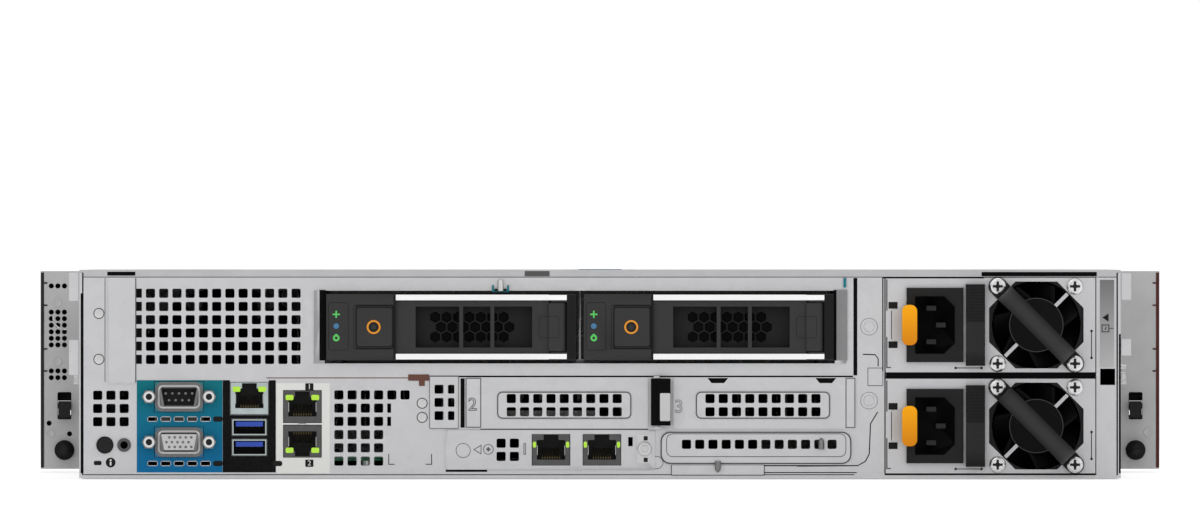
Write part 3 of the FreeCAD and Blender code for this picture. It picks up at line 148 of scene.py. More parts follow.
class SheetSettings(bpy.types.PropertyGroup):
    """Chassis sheet and the paint of the ears."""
    zinc: tint("Zinc", "Colour of the zinc-coated sheet", (0.575, 0.575, 0.587))
    zinc_shade: tint("Zinc shade", "Darker crystals in the zinc", (0.485, 0.485, 0.498))
    ear: tint("Ear paint", "Colour of the rack ears", grey(0.45))
    spangle: length("Spangle", "Size of the zinc crystals", 5.0)
    grain: length("Brush grain", "Width of the rolling marks", 0.5)


class PlasticSettings(bpy.types.PropertyGroup):
    """Mouldings."""
    bezel: tint("Bezel", "Colour of the drive bezels", grey(0.034))
    black: tint("Black", "Colour of sockets, fans and pull handles", grey(0.014))
    cover: tint("Ear cover", "Colour of the plastic ear covers", grey(0.022))
    # The tabs take this colour at their foot and turn lighter towards their top, a painted highlight.
    release: tint("Release tab", "Colour of the power supply release tabs", (0.62, 0.205, 0.001))
    ring: tint("Button ring", "Colour of the ring on a carrier button", (0.72, 0.28, 0.03))
    tongue: tint("Socket tongue", "Colour of the tongue in a fast serial socket", (0.035, 0.075, 0.38))
    touch: tint("Touch point", "Colour of the service touch points", (0.01, 0.16, 0.20))
    grain: length("Moulding grain", "Size of the moulded texture", 0.35)


class LabelSettings(bpy.types.PropertyGroup):
    """Vinyl labels and printed marks."""
    teal: tint("Teal", "Upper end of the monitor and serial label", (0.003, 0.150, 0.180))
    blue: tint("Blue", "Lower end of the monitor and serial label", (0.002, 0.120, 0.290))
    black: tint("Black", "Colour of the management label", grey(0.001))
    white: tint("White", "Colour of the network label", (0.66, 0.66, 0.64))
    print_ink: tint("Ink", "Colour of printed marks", grey(0.01))
    thickness: length("Label thickness", "Thickness of a vinyl label", 0.15)
    relief: length("Print relief", "How far a printed mark stands out", 0.06)


class LampSettings(bpy.types.PropertyGroup):
    """Lamps of sockets and carriers."""
    link: tint("Link lamp", "Colour of the lamps of a network socket", (0.42, 0.75, 0.02))
    ready: tint("Ready lamp", "Colour of the green carrier marks", (0.06, 0.52, 0.08))
    locate: tint("Locate lamp", "Colour of the blue carrier mark", (0.02, 0.14, 0.30))
    glow: bpy.props.FloatProperty(name="Glow", description="Light given off by a lamp", min=0.0,
                                  default=0.12)


class CarrierSettings(bpy.types.PropertyGroup):
    """Small shapes of the drive carriers."""
    cell: length("Cell pitch", "Distance between the cells of the honeycomb", 4.75)
    web: length("Cell wall", "Width of the walls between the cells", 0.6)
    mesh_depth: length("Honeycomb depth", "How far the honeycomb lies behind the bezel face", 6.6)
    ring_radius: length("Ring radius", "Outer radius of the button ring", 2.9)
    ring_width: length("Ring width", "Width of the button ring", 0.75)


class StageSettings(bpy.types.PropertyGroup):
    """Floor, light and camera."""
    floor: tint("Floor", "Colour of the floor", grey(0.93))
    distance: length("Camera distance", "From the camera to the rear wall", 20000.0)
    focal: bpy.props.FloatProperty(name="Focal length", description="Lens of the camera in millimetres",
                                   min=1.0, default=1440.0)
    sky: bpy.props.FloatProperty(name="Sky", description="Strength of the even light", min=0.0,
                                 default=0.80)


# ---- Shader arithmetic
class Wire:
    """A socket that adds its own Math nodes when it stands in a Python expression."""

    def __init__(self, shade, socket):
        self.shade = shade
        self.socket = socket

    def math(self, operation, *values):
        return self.shade.math(operation, *values)

    def __add__(self, other):
        return self.math("ADD", self, other)

    __radd__ = __add__

    def __sub__(self, other):
        return self.math("SUBTRACT", self, other)

    def __rsub__(self, other):
        return self.math("SUBTRACT", other, self)

    def __mul__(self, other):
        return self.math("MULTIPLY", self, other)

    __rmul__ = __mul__

    def __truediv__(self, other):
        return self.math("DIVIDE", self, other)

    def __rtruediv__(self, other):
        return self.math("DIVIDE", other, self)

    def __gt__(self, other):
        return self.math("GREATER_THAN", self, other)

    def __lt__(self, other):
        return self.math("LESS_THAN", self, other)

    def __abs__(self):
        return self.math("ABSOLUTE", self)

    def fraction(self):
        return self.math("FRACT", self)

    def clear(self):
        """Keeps the value between 0 and 1."""
        return self.math("MINIMUM", self.math("MAXIMUM", self, 0.0), 1.0)


class Shade:
    """One material and the nodes behind it."""

    def __init__(self, name, metallic=0.0, roughness=0.5, sheen=0.5, **fixed):
        self.material = bpy.data.materials.new(name)
        self.material.use_nodes = True
        self.tree = self.material.node_tree
        self.surface = self.tree.nodes["Principled BSDF"]
        self.spot = self.node("TexCoord").outputs["Object"]
        self.put(self.surface.inputs["Metallic"], metallic)
        self.put(self.surface.inputs["Roughness"], roughness)
        self.put(self.surface.inputs["Specular IOR Level"], sheen)
        for label, value in fixed.items():
            self.put(self.surface.inputs[label.replace("_", " ").title()], value)

    def put(self, socket, value):
        if isinstance(value, Wire):
            self.tree.links.new(value.socket, socket)
        elif isinstance(value, bpy.types.NodeSocket):
            self.tree.links.new(value, socket)
        elif socket.type == "RGBA" and len(value) == 3:
            socket.default_value = (*value, 1.0)
        else:
            socket.default_value = value

    def math(self, operation, *values):
        return Wire(self, self.node("Math", {"operation": operation}, dict(enumerate(values))).outputs[0])

    def node(self, kind, settings=None, sockets=None):
        """A node of any kind: its settings first, then the values or links of its sockets."""
        made = self.tree.nodes.new("ShaderNode" + kind)
        for name, value in (settings or {}).items():
            if name == "stops":
                self.set_stops(made.color_ramp, value)
            else:
                setattr(made, name, value)
        for name, value in (sockets or {}).items():
            self.put(made.inputs[name], value)
        return made

    def set_stops(self, ramp, stops):
        while len(ramp.elements) < len(stops):
            ramp.elements.new(1.0)
        for element, (place, value) in zip(ramp.elements, stops):
            element.position = place
            element.color = (value, value, value, 1.0)

    def axis(self, number):
        """Object coordinate along one axis, in millimetres."""
        parts = self.node("SeparateXYZ", None, {0: self.spot})
        return Wire(self, parts.outputs[number]) / MM

    def stretched(self, stretch):
        """Object coordinates, drawn out along an axis."""
        return self.node("VectorMath", {"operation": "MULTIPLY"}, {0: self.spot, 1: stretch}).outputs[0]

    def noise(self, size, stretch=(1.0, 1.0, 1.0), detail=3.0):
        """Soft noise from 0 to 1 with features of the given size in metres."""
        made = self.node("TexNoise", None, {"Vector": self.stretched(stretch), "Scale": 1.0 / size,
                                            "Detail": detail, "Roughness": 0.55})
        return Wire(self, made.outputs[0])

    def crystals(self, size):
        """Flat random value for each crystal."""
        made = self.node("TexVoronoi", {"feature": "F1"}, {"Vector": self.spot, "Scale": 1.0 / size})
        split = self.node("SeparateColor", None, {0: made.outputs["Color"]})
        return Wire(self, split.outputs[0])

    def edge_lines(self, size):
        """Distance to the nearest cell border, for fine lines."""
        made = self.node("TexVoronoi", {"feature": "DISTANCE_TO_EDGE"},
                         {"Vector": self.spot, "Scale": 1.0 / size})
        return Wire(self, made.outputs["Distance"])

    def contrast(self, value, low, high):
        """Spreads the values between low and high over 0 to 1."""
        made = self.node("ValToRGB", {"stops": ((low, 0.0), (high, 1.0))}, {0: value})
        split = self.node("SeparateColor", None, {0: made.outputs[0]})
        return Wire(self, split.outputs[0])

    def mix(self, mask, first, second):
        made = self.node("Mix", {"data_type": "RGBA"}, {0: mask, 6: first, 7: second})
        return Wire(self, made.outputs[2])

    def paint(self, colour):
        self.put(self.surface.inputs["Base Color"], colour)

    def polish(self, roughness):
        self.put(self.surface.inputs["Roughness"], roughness)

    def metal(self, amount):
        self.put(self.surface.inputs["Metallic"], amount)

    def emboss(self, height, depth, strength=0.6):
        """Relief of a height from 0 to 1, over a depth in metres."""
        bump = self.node("Bump", None, {"Height": height, "Strength": strength, "Distance": depth})
        self.put(self.surface.inputs["Normal"], bump.outputs[0])


def darker(colour, share):
    """The colour times a share, which may be more than 1."""
    return tuple(channel * share for channel in colour)


def settings(group):
    """The sidebar's values of one group."""
    return getattr(bpy.context.scene, group)


MADE = {}


def finish(maker, *given):
    """The material that a maker gives, made once for each set of values."""
    key = (maker.__name__,) + given
    if key not in MADE:
        MADE[key] = maker(*given)
    return MADE[key]


# ---- Finishes
def zinc_sheet(name="zinc_sheet", share=1.0):
    """Zinc-coated sheet: faint crystals, rolling marks and handling smears."""
    look = settings("server_sheet")
    shade = Shade(name, metallic=0.72)
    crystal = shade.crystals(look.spangle)
    smear = shade.noise(0.045, detail=4.0)
    rolled = shade.noise(look.grain, stretch=(0.04, 1.0, 1.0), detail=2.0)
    mask = (crystal * 0.30 + smear * 0.45 + rolled * 0.25).clear()
    shade.paint(shade.mix(mask, darker(look.zinc_shade, share), darker(look.zinc, share)))
    shade.polish(0.36 + crystal * 0.06 + rolled * 0.10)
    shade.emboss(rolled * 0.6 + crystal * 0.4, 0.00004)
    return shade.material


def ear_paint():
    """Powder coat with an orange-peel skin."""
    look = settings("server_sheet")
    shade = Shade("ear_paint", metallic=0.25)
    peel = shade.noise(0.0011, detail=2.0)
    worn = shade.contrast(shade.noise(0.02, detail=5.0), 0.42, 0.68)
    shade.paint(shade.mix(worn, look.ear, darker(look.ear, 0.88)))
    shade.polish(0.42 + peel * 0.16)
    shade.emboss(peel, 0.00006)
    return shade.material


def moulded(name, colour, roughness=0.45):
    """Moulded plastic with a spark-eroded grain."""
    look = settings("server_plastic")
    shade = Shade(name, sheen=PIT_SHEEN if max(colour) < 0.01 else PLASTIC_SHEEN)
    grain = shade.noise(look.grain, detail=2.0)
    flow = shade.noise(0.03, detail=3.0)
    shade.paint(shade.mix(flow, darker(colour, 0.82), darker(colour, 1.15)))
    shade.polish(roughness + grain * 0.18 - flow * 0.06)
    shade.emboss(grain, 0.00005)
    return shade.material


def bright_metal(name, colour, roughness=0.28):
    """Plated or drawn metal with fine turning marks."""
    shade = Shade(name, metallic=1.0)
    drawn = shade.noise(0.0004, stretch=(0.2, 1.0, 1.0), detail=2.0)
    stain = shade.noise(0.006, detail=4.0)
    shade.paint(shade.mix(stain, darker(colour, 0.80), colour))
    shade.polish(roughness + drawn * 0.16)
    shade.emboss(drawn, 0.00001)
    return shade.material


def cast_metal(name, colour):
    """Cast aluminium of a drive or a heat sink."""
    shade = Shade(name, metallic=0.85)
    skin = shade.noise(0.0009, detail=3.0)
    cloud = shade.noise(0.018, detail=3.0)
    shade.paint(shade.mix(cloud, darker(colour, 0.78), colour))
    shade.polish(0.40 + skin * 0.22)
    shade.emboss(skin, 0.00003)
    return shade.material


def circuit_board():
    """Lacquered board with tracks and copper pads."""
    shade = Shade("circuit_board", roughness=0.3, Coat_Weight=0.4)
    tracks = shade.contrast(shade.edge_lines(0.0035), 0.06, 0.09)
    weave = shade.noise(0.0008, detail=1.0)
    pads = shade.contrast(shade.crystals(0.0025), 0.86, 0.90)
    lacquer = shade.mix(tracks, (0.012, 0.10, 0.05), (0.006, 0.055, 0.028))
    shade.paint(shade.mix(pads, lacquer, (0.50, 0.42, 0.22)))
    shade.polish(0.26 + weave * 0.12)
    shade.emboss(1.0 - tracks, 0.00003)
    return shade.material


def vinyl(name, upper, lower, low_z, high_z):
    """Printed vinyl label that runs from one colour to another up its height."""
    shade = Shade(name, sheen=LABEL_SHEEN)
    rise = ((shade.axis(2) - low_z) / (high_z - low_z)).clear()
    skin = shade.noise(0.0012, detail=2.0)
    colour = shade.mix(rise, lower, upper)
    shade.paint(shade.mix(skin * 0.02, colour, grey(0.5)))
    shade.polish(0.38 + skin * 0.14)
    shade.emboss(skin, 0.00002)
    return shade.material


def ink(name, colour):
    """Screen-printed mark with a slightly uneven edge to edge cover; the same flat mark also serves as
    painted shade in seams, grooves and round embossing.
    """
    shade = Shade(name, sheen=INK_SHEEN)
    cover = shade.noise(0.0006, detail=2.0)
    shade.paint(shade.mix(cover * 0.25, colour, darker(colour, 0.6)))
    shade.polish(0.42 + cover * 0.2)
    return shade.material


def lamp(name, colour):
    """Light guide: coloured plastic that gives off a little light of its own."""
    look = settings("server_lamps")
    shade = Shade(name, Coat_Weight=0.6)
    depth = shade.noise(0.0016, detail=2.0)
    shade.paint(shade.mix(depth, darker(colour, 0.75), colour))
    shade.put(shade.surface.inputs["Emission Color"], shade.mix(depth, darker(colour, 0.7), colour))
    shade.put(shade.surface.inputs["Emission Strength"], look.glow)
    shade.polish(0.18 + depth * 0.1)
    return shade.material


def webbing():
    """Woven strap of the cord keeper: ribs across and a fine weave."""
    look = settings("server_plastic")
    shade = Shade("strap_webbing", sheen=INK_SHEEN)
    rib_pitch, fold_start = 1.3, 0.453
    rib = abs((shade.axis(2) / rib_pitch).fraction() - 0.5) * 2.0
    weave = shade.noise(0.0004, detail=2.0)
    fold = shade.contrast((shade.axis(2) / SUPPLY_PITCH + fold_start).fraction(), 0.60, 0.72)
    cloth = shade.mix(fold, darker(look.black, 0.8), darker(look.black, 1.9))
    shade.paint(shade.mix(rib * 0.5, cloth, darker(look.black, 1.6)))
    shade.polish(0.7 + weave * 0.2)
    shade.emboss(rib * 0.6 + weave * 0.4, 0.00012)
    return shade.material


def socket_shell():
    """Plated shell at the wall, near black inside the mouth: partly the socket's dark moulding, partly
    painted shade on the metal.
    """
    shade = Shade("socket_shell")
    inside = shade.axis(1) > MOUTH
    stain = shade.noise(0.004, detail=3.0)
    half_width = 9.0
    serial_side = abs(shade.axis(0) - JACK_X) < half_width
    plated = shade.mix(serial_side, shade.mix(stain, grey(0.075), grey(0.11)),
                       shade.mix(stain, (0.34, 0.40, 0.40), (0.48, 0.53, 0.53)))
    # Inside the mouth: partly the socket's dark moulding, partly painted shade on the metal, drawn near black
    # and not metallic.
    shade.paint(shade.mix(inside, plated, grey(0.012)))
    shade.metal(1.0 - inside)
    shade.polish(0.30 + stain * 0.1 + inside * 0.25)
    return shade.material


def dsub_shell(upper, lower, low_z, high_z):
    """Rounded metal shell with a painted highlight along its rim and a near-black mouth; the corners of its
    flange take the colour of the label.
    """
    shade = Shade("dsub_shell")
    serial_z, video_z = 33.9, 15.0
    half_width, half_height = 6.6, 2.7    # to the middles of the round corners
    highlight_inside, highlight_outside, flange_end = 1.5, 2.2, 3.45    # from the middle of a round corner
    x = abs(shade.axis(0) - DSUB_X)
    serial, video = abs(shade.axis(2) - serial_z), abs(shade.axis(2) - video_z)
    z = shade.math("MINIMUM", serial, video)
    across, along = shade.math("MAXIMUM", x - half_width, 0.0), shade.math("MAXIMUM", z - half_height, 0.0)
    radius = shade.math("SQRT", across * across + along * along)
    stain = shade.noise(0.004, detail=3.0)
    rise = ((shade.axis(2) - low_z) / (high_z - low_z)).clear()
    # Painted highlight: a bright band where the rounded rim catches the light.
    rim = shade.mix((radius > highlight_inside) * (radius < highlight_outside), grey(0.13), grey(0.58))
    shell = shade.mix(stain * 0.4, rim, grey(0.30))
    corner = radius > flange_end
    # Past the mouth the shell is near black: partly its dark insert, partly painted shade on its inner walls.
    inside = shade.axis(1) > MOUTH
    shade.paint(shade.mix(inside, shade.mix(corner, shell, shade.mix(rise, lower, upper)), grey(0.012)))
    shade.metal((1.0 - corner) * (1.0 - inside) * 0.7)
    shade.polish(0.32 + stain * 0.12 + inside * 0.2)
    return shade.material


def carrier_frame(name, start, direction):
    """Bezel moulding in front and folded steel rails behind it."""
    look = settings("server_plastic")
    steel = settings("server_sheet")
    shade = Shade(name, sheen=PLASTIC_SHEEN)
    rails = (shade.axis(1) * direction) > (start * direction + BEZEL_DEPTH)
    grain = shade.noise(look.grain, detail=2.0)
    crystal = shade.crystals(0.004)
    plastic = shade.mix(grain, darker(look.bezel, 0.85), darker(look.bezel, 1.1))
    metal = shade.mix(crystal, steel.zinc_shade, steel.zinc)
    shade.paint(shade.mix(rails, plastic, metal))
    shade.metal(rails * 0.8)
    shade.polish(0.46 + grain * 0.14 - rails * 0.1)
    shade.emboss(grain, 0.00005)
    return shade.material


def carrier_handle(name, floor, pitch):
    """Dark handle with a bright rail along its top and bottom, over and over at a pitch in height."""
    look = settings("server_plastic")
    shade = Shade(name, sheen=PLASTIC_SHEEN)
    rise = ((shade.axis(2) - floor) / pitch).fraction() * pitch
    middle = HANDLE_HEIGHT / 2
    rails = (abs(rise - middle) > (middle - HANDLE_FLANGE)) * (abs(rise - middle) < middle)
    grain = shade.noise(look.grain, detail=2.0)
    brushed = shade.noise(0.0006, stretch=(0.05, 1.0, 1.0), detail=2.0)
    plastic = shade.mix(grain, darker(look.bezel, 0.9), darker(look.bezel, 1.12))
    bright = shade.mix(brushed, grey(0.80), grey(0.92))
    shade.paint(shade.mix(rails, plastic, bright))
    shade.metal(rails * 0.55)
    shade.polish(0.46 + grain * 0.12 - rails * 0.18)
    shade.emboss(grain * (1.0 - rails), 0.00005)
    return shade.material


def pull_handle(name, x, z):
    """Dark nylon bar that runs aslant, shaded to look round: a painted highlight along its middle and painted
    shade towards its edges.
    """
    look = settings("server_plastic")
    shade = Shade(name, sheen=PLASTIC_SHEEN)
    across = abs((shade.axis(0) - x) + (shade.axis(2) - z)) * math.sqrt(0.5)
    grain = shade.noise(look.grain, detail=2.0)
    half_width = 8.0
    edge_shade = shade.contrast(across / half_width, 0.15, 0.55)
    shade.paint(shade.mix(edge_shade, grey(0.030), grey(0.006)))
    shade.polish(0.5 + grain * 0.15)
    shade.emboss(grain, 0.00005)
    return shade.material


# Finishes: a maker, a colour and sometimes a roughness. A colour given as group.field is the sidebar's.
PLAIN = {
    "bezel_moulding": (moulded, "server_plastic.bezel"),
    "black_moulding": (moulded, "server_plastic.black"),
    "ear_moulding": (moulded, "server_plastic.cover"),
    "touch_moulding": (moulded, "server_plastic.touch", 0.4),
    "tongue_blue": (moulded, "server_plastic.tongue", 0.35),
    "edge_moulding": (moulded, (0.076, 0.021, 0.020)),
    "fan_moulding": (moulded, grey(0.009), 0.35),
    "pale_moulding": (moulded, grey(0.50)),
    # Near black for dark mouldings, and for painted shade in gaps, cut-outs and behind the honeycomb.
    "pit_moulding": (moulded, grey(0.004)),
    "rim_moulding": (moulded, grey(0.06)),
    "rotor_moulding": (moulded, grey(0.008), 0.42),
    "web_moulding": (moulded, grey(0.012)),
    "blade_nickel": (bright_metal, grey(0.035), 0.4),
    "dark_steel": (bright_metal, grey(0.03), 0.45),
    "plated_steel": (bright_metal, grey(0.62)),
    "post_steel": (bright_metal, grey(0.22)),
    "screw_steel": (bright_metal, grey(0.74), 0.2),
    "worn_contact": (bright_metal, (0.20, 0.15, 0.07), 0.35),
    "cast_aluminium": (cast_metal, grey(0.52)),
    "drive_casting": (cast_metal, grey(0.36)),
    # Print, and also painted shade in grooves, slots and along edges.
    "dark_ink": (ink, "server_labels.print_ink"),
    "pale_ink": (ink, "server_labels.white"),
    "ring_ink": (ink, "server_plastic.ring"),
    "faint_ink": (ink, grey(0.24)),
    # The slot numbers and signs, and painted shade round the embossing of the slot covers.
    "grey_ink": (ink, grey(0.11)),
    "joint_ink": (ink, (0.13, 0.06, 0.045)),
    "rail_ink": (ink, grey(0.92)),
    # Painted shade along seams, press lines and round dimples.
    "seam_ink": (ink, grey(0.09)),
    "link_lamp": (lamp, "server_lamps.link"),
    "locate_lamp": (lamp, "server_lamps.locate"),
    "power_lamp": (lamp, "server_lamps.ready"),
    "ready_lamp": (lamp, "server_lamps.ready"),
    "status_blue": (lamp, "server_lamps.locate"),
    "status_green": (lamp, "server_lamps.ready"),
}


def plain(name):
    """A finish of the table above."""
    maker, colour, *rest = PLAIN[name]
    if isinstance(colour, str):
        group, field = colour.split(".")
        colour = tuple(getattr(settings(group), field))
    return finish(maker, name, colour, *rest)


# ---- Shapes
def rectangle(x0, x1, z0, z1, corner=0.0, steps=4):
    """Closed outline of a rectangle, with round corners if corner is more than 0."""
    x0, x1 = sorted((x0, x1))
    z0, z1 = sorted((z0, z1))
    if not corner:
        return [(x0, z0), (x1, z0), (x1, z1), (x0, z1)]
    points = []
    for x, z, start in ((x1 - corner, z0 + corner, -90), (x1 - corner, z1 - corner, 0),
                        (x0 + corner, z1 - corner, 90), (x0 + corner, z0 + corner, 180)):
        for step in range(steps + 1):
            angle = math.radians(start + 90 * step / steps)
            points.append((x + corner * math.cos(angle), z + corner * math.sin(angle)))
    return points


def circle(x, z, radius, sides=24, turn=0.0):
    """Closed outline of a circle, or of a hexagon or another regular shape."""
    angles = [math.radians(turn + 360 * step / sides) for step in range(sides)]
    return [(x + radius * math.cos(angle), z + radius * math.sin(angle)) for angle in angles]


class Form:
    """Solids in millimetres that become one piece."""

    def __init__(self):
        self.mesh = bmesh.new()
        self.slot = 0

    def skin(self, points, rings):
        corners = [self.mesh.verts.new(point) for point in points]
        for ring in rings:
            self.mesh.faces.new([corners[number] for number in ring]).material_index = self.slot

    def block(self, x0, x1, y0, y1, z0, z1):
        points = [(x, y, z) for x in sorted((x0, x1)) for y in sorted((y0, y1)) for z in sorted((z0, z1))]
        self.skin(points, ((0, 1, 3, 2), (4, 6, 7, 5), (0, 4, 5, 1), (2, 3, 7, 6), (0, 2, 6, 4),
                           (1, 5, 7, 3)))

    def pane(self, outer, holes, y0, y1):
        """Plate between two depths, with any holes through it. Outlines are lists of (x, z)."""
        edges = []
        for loop in [outer] + list(holes):
            corners = [self.mesh.verts.new((x, y0, z)) for x, z in loop]
            edges += [self.mesh.edges.new(pair) for pair in zip(corners, corners[1:] + corners[:1])]
        filled = bmesh.ops.triangle_fill(self.mesh, use_beauty=True, edges=edges)["geom"]
        faces = [item for item in filled if isinstance(item, bmesh.types.BMFace)]
        for face in faces:
            face.material_index = self.slot
        grown = bmesh.ops.extrude_face_region(self.mesh, geom=faces)["geom"]
        moved = [item for item in grown if isinstance(item, bmesh.types.BMVert)]
        bmesh.ops.translate(self.mesh, vec=(0, y1 - y0, 0), verts=moved)
        for item in grown:
            if isinstance(item, bmesh.types.BMFace):
                item.material_index = self.slot

    def mark(self, outline, face, relief, holes=()):
        """Flat mark that stands out from a face by its relief."""
        self.pane(outline, holes, face - relief, face)

    def lathe(self, points, rows, steps):
        """Closed skin over rows of points, each row one turn of the given number of steps."""
        rings = [tuple(range(steps)), tuple(range((rows - 1) * steps, rows * steps))]
        for row in range(rows - 1):
            for step in range(steps):
                after = (step + 1) % steps
                rings.append((row * steps + step, row * steps + after,
                              (row + 1) * steps + after, (row + 1) * steps + step))
        self.skin(points, rings)

    def turned(self, centre, profile, axis=1, steps=28):
        """Round solid about an axis through a point; the profile lists (radius, place along the axis)."""
        points = []
        for radius, along in profile:
            for step in range(steps):
                angle = 2 * math.pi * step / steps
                point = [centre[0], centre[1], centre[2]]
                point[axis] += along
                point[(axis + 1) % 3] += radius * math.cos(angle)
                point[(axis + 2) % 3] += radius * math.sin(angle)
                points.append(tuple(point))
        self.lathe(points, len(profile), steps)

    def dome(self, x, z, face, radius, profile):
        """Round boss on a face; the profile lists (share of the radius, height above the face)."""
        self.turned((x, face, z), [(radius * share, rise) for share, rise in profile])

    def wire(self, path, radius, steps=8):
        """Round wire along points in millimetres."""
        spots = [Vector(point) for point in path]
        points = []
        side = None
        for number, spot in enumerate(spots):
            ahead = spots[min(number + 1, len(spots) - 1)] - spots[max(number - 1, 0)]
            ahead.normalize()
            if side is None:
                side = ahead.orthogonal().normalized()
            side = (side - ahead * side.dot(ahead)).normalized()
            other = ahead.cross(side)
            for step in range(steps):
                angle = 2 * math.pi * step / steps
                points.append(spot + radius * (math.cos(angle) * side + math.sin(angle) * other))
        self.lathe(points, len(spots), steps)

    def digit(self, words, x, z, size, y, relief, turn=0.0, grow=0.0):
        """Number that stands out from the plane at y, turned in that plane."""
        curve = bpy.data.curves.new("digit", "FONT")
        curve.body = words
        curve.size = size
        curve.extrude = relief / 2
        curve.offset = grow
        curve.align_x = "CENTER"
        curve.align_y = "CENTER"
        holder = bpy.data.objects.new("digit", curve)
        bpy.context.scene.collection.objects.link(holder)
        bpy.context.view_layer.update()
        made = bpy.data.meshes.new_from_object(holder.evaluated_get(bpy.context.evaluated_depsgraph_get()))
        made.transform(Matrix.Translation((x, y - relief / 2, z))
                       @ Matrix.Rotation(math.radians(90), 4, "X")
                       @ Matrix.Rotation(math.radians(turn), 4, "Z"))
        bpy.data.objects.remove(holder)
        before = len(self.mesh.faces)
        self.mesh.from_mesh(made)
        self.mesh.faces.ensure_lookup_table()
        for face in self.mesh.faces[before:]:
            face.material_index = self.slot

    def outlined(self, words, x, z, size, y, relief):
        """Number drawn as an outline: slot 0 for the line and slot 1 for the inside."""
        self.slot = 0
        self.digit(words, x, z, size, y, relief, grow=0.024 * size)
        self.slot = 1
        self.digit(words, x, z, size, y, 1.6 * relief, grow=-0.026 * size)

    def screw(self, x, z, radius, height, y):
        """Domed screw head with a dark cross recess; the recess takes the second material."""
        arm, half = radius * 0.6, radius * 0.15
        waist = half * 1.7
        cross = [(half, waist), (half, arm), (-half, arm), (-half, waist), (-waist, half), (-arm, half),
                 (-arm, -half), (-waist, -half), (-half, -waist), (-half, -arm), (half, -arm), (half, -waist),
                 (waist, -half), (arm, -half), (arm, half), (waist, half)]
        dome = [(1.0, 0.0), (1.0, 0.35), (0.93, 0.6), (0.82, 0.78), (0.7, 0.85)]
        self.turned((x, y, z), [(radius * out, -height * rise) for out, rise in dome], steps=36)
        outline = [(x + a, z + b) for a, b in cross]
        floor = y - height * 0.85
        self.pane(circle(x, z, radius * 0.7), [outline], floor, y - height)
        self.slot = 1
        self.pane(outline, [], floor, y - height * 0.93)
        self.slot = 0

    def piece(self, name, body, materials, slot, edge=0.0, stands_for=()):
        """Turns the solids into an object in metres that rides on a body of the frame."""
        bmesh.ops.recalc_face_normals(self.mesh, faces=self.mesh.faces[:])
        bmesh.ops.scale(self.mesh, vec=(MM, MM, MM), verts=self.mesh.verts[:])
        return settle(self.mesh, name, body, materials, slot, edge, stands_for)


def settle(mesh, name, body, materials, slot, edge=0.0, stands_for=()):
    """Makes the object of a finished mesh, with softened edges where edge is more than 0 millimetres."""
    data = bpy.data.meshes.new(name)
    mesh.to_mesh(data)
    mesh.free()
    data.polygons.foreach_set("use_smooth", [True] * len(data.polygons))
    data.set_sharp_from_angle(angle=SHARP_ANGLE)
    for material in materials:
        data.materials.append(material)
    made = bpy.data.objects.new(name, data)
    bpy.context.scene.collection.objects.link(made)
    if edge:
        soft = made.modifiers.new("edge", "BEVEL")
        soft.width = edge * MM
        soft.segments = 2
        soft.limit_method = "ANGLE"
        soft.angle_limit = SOFTENED_ANGLE
        soft.harden_normals = True
    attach(made, body)
    if stands_for:
        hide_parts(*stands_for)
    return made


def solids(node):
    """The mesh of a frame node with joined corners, and its separate solids.

    Each solid is (faces, low, high), with its corners in millimetres.
    """
    mesh = bmesh.new()
    mesh.from_mesh(NODES[node].data)
    bmesh.ops.remove_doubles(mesh, verts=mesh.verts[:], dist=1e-6)
    mesh.faces.ensure_lookup_table()
    left = set(range(len(mesh.faces)))
    found = []
    while left:
        start = left.pop()
        queue = [start]
        faces = {start}
        while queue:
            for corner in mesh.faces[queue.pop()].verts:
                for face in corner.link_faces:
                    if face.index in left:
                        left.discard(face.index)
                        faces.add(face.index)
                        queue.append(face.index)
        spots = [corner.co for number in faces for corner in mesh.faces[number].verts]
        low = Vector([min(spot[axis] for spot in spots) for axis in range(3)]) / MM
        high = Vector([max(spot[axis] for spot in spots) for axis in range(3)]) / MM
        found.append((faces, low, high))
    return mesh, sorted(found, key=lambda item: tuple(round(value, 3) for value in item[1]))


def divide(node, groups):
    """Makes one piece of each group of a node's solids. A group is (suffix, test, material, slot).

    A test tells solids apart by their lowest and highest corners. The solids that no group took come back.
    """
    mesh, found = solids(node)
    body = body_of(node)
    taken = set()
    for suffix, test, material, slot in groups:
        keep = set()
        for number, (faces, low, high) in enumerate(found):
            if number not in taken and test(low, high):
                taken.add(number)
                keep |= faces
        if not keep:
            raise RuntimeError(f"no solid of {node} is {suffix}")
        part = mesh.copy()
        part.faces.ensure_lookup_table()
        gone = [part.faces[number] for number in range(len(part.faces)) if number not in keep]
        bmesh.ops.delete(part, geom=gone, context="FACES")
        settle(part, f"{node}_{suffix}", body, [material], slot, stands_for=[node])
    mesh.free()
    return [(low, high) for number, (_, low, high) in enumerate(found) if number not in taken]


def anything(low, high):
    """Test of a group that takes every solid that is left."""
    return True


def dress(material, *nodes):
    """Gives frame nodes a finish."""
    for node in nodes:
        for slot in NODES[node].material_slots:
            slot.material = material


class Bay:
    """Millimetres right, in and up from a carrier's lower left corner, as its user faces it."""

    def __init__(self, node, facing):
        low, high = box_mm(node)
        self.facing = facing
        self.corner = low if facing > 0 else Vector((high.x, high.y, low.z))

    def x(self, right):
        return self.corner.x + self.facing * right

    def y(self, depth):
        return self.corner.y + self.facing * depth

    def z(self, up):
        return self.corner.z + up


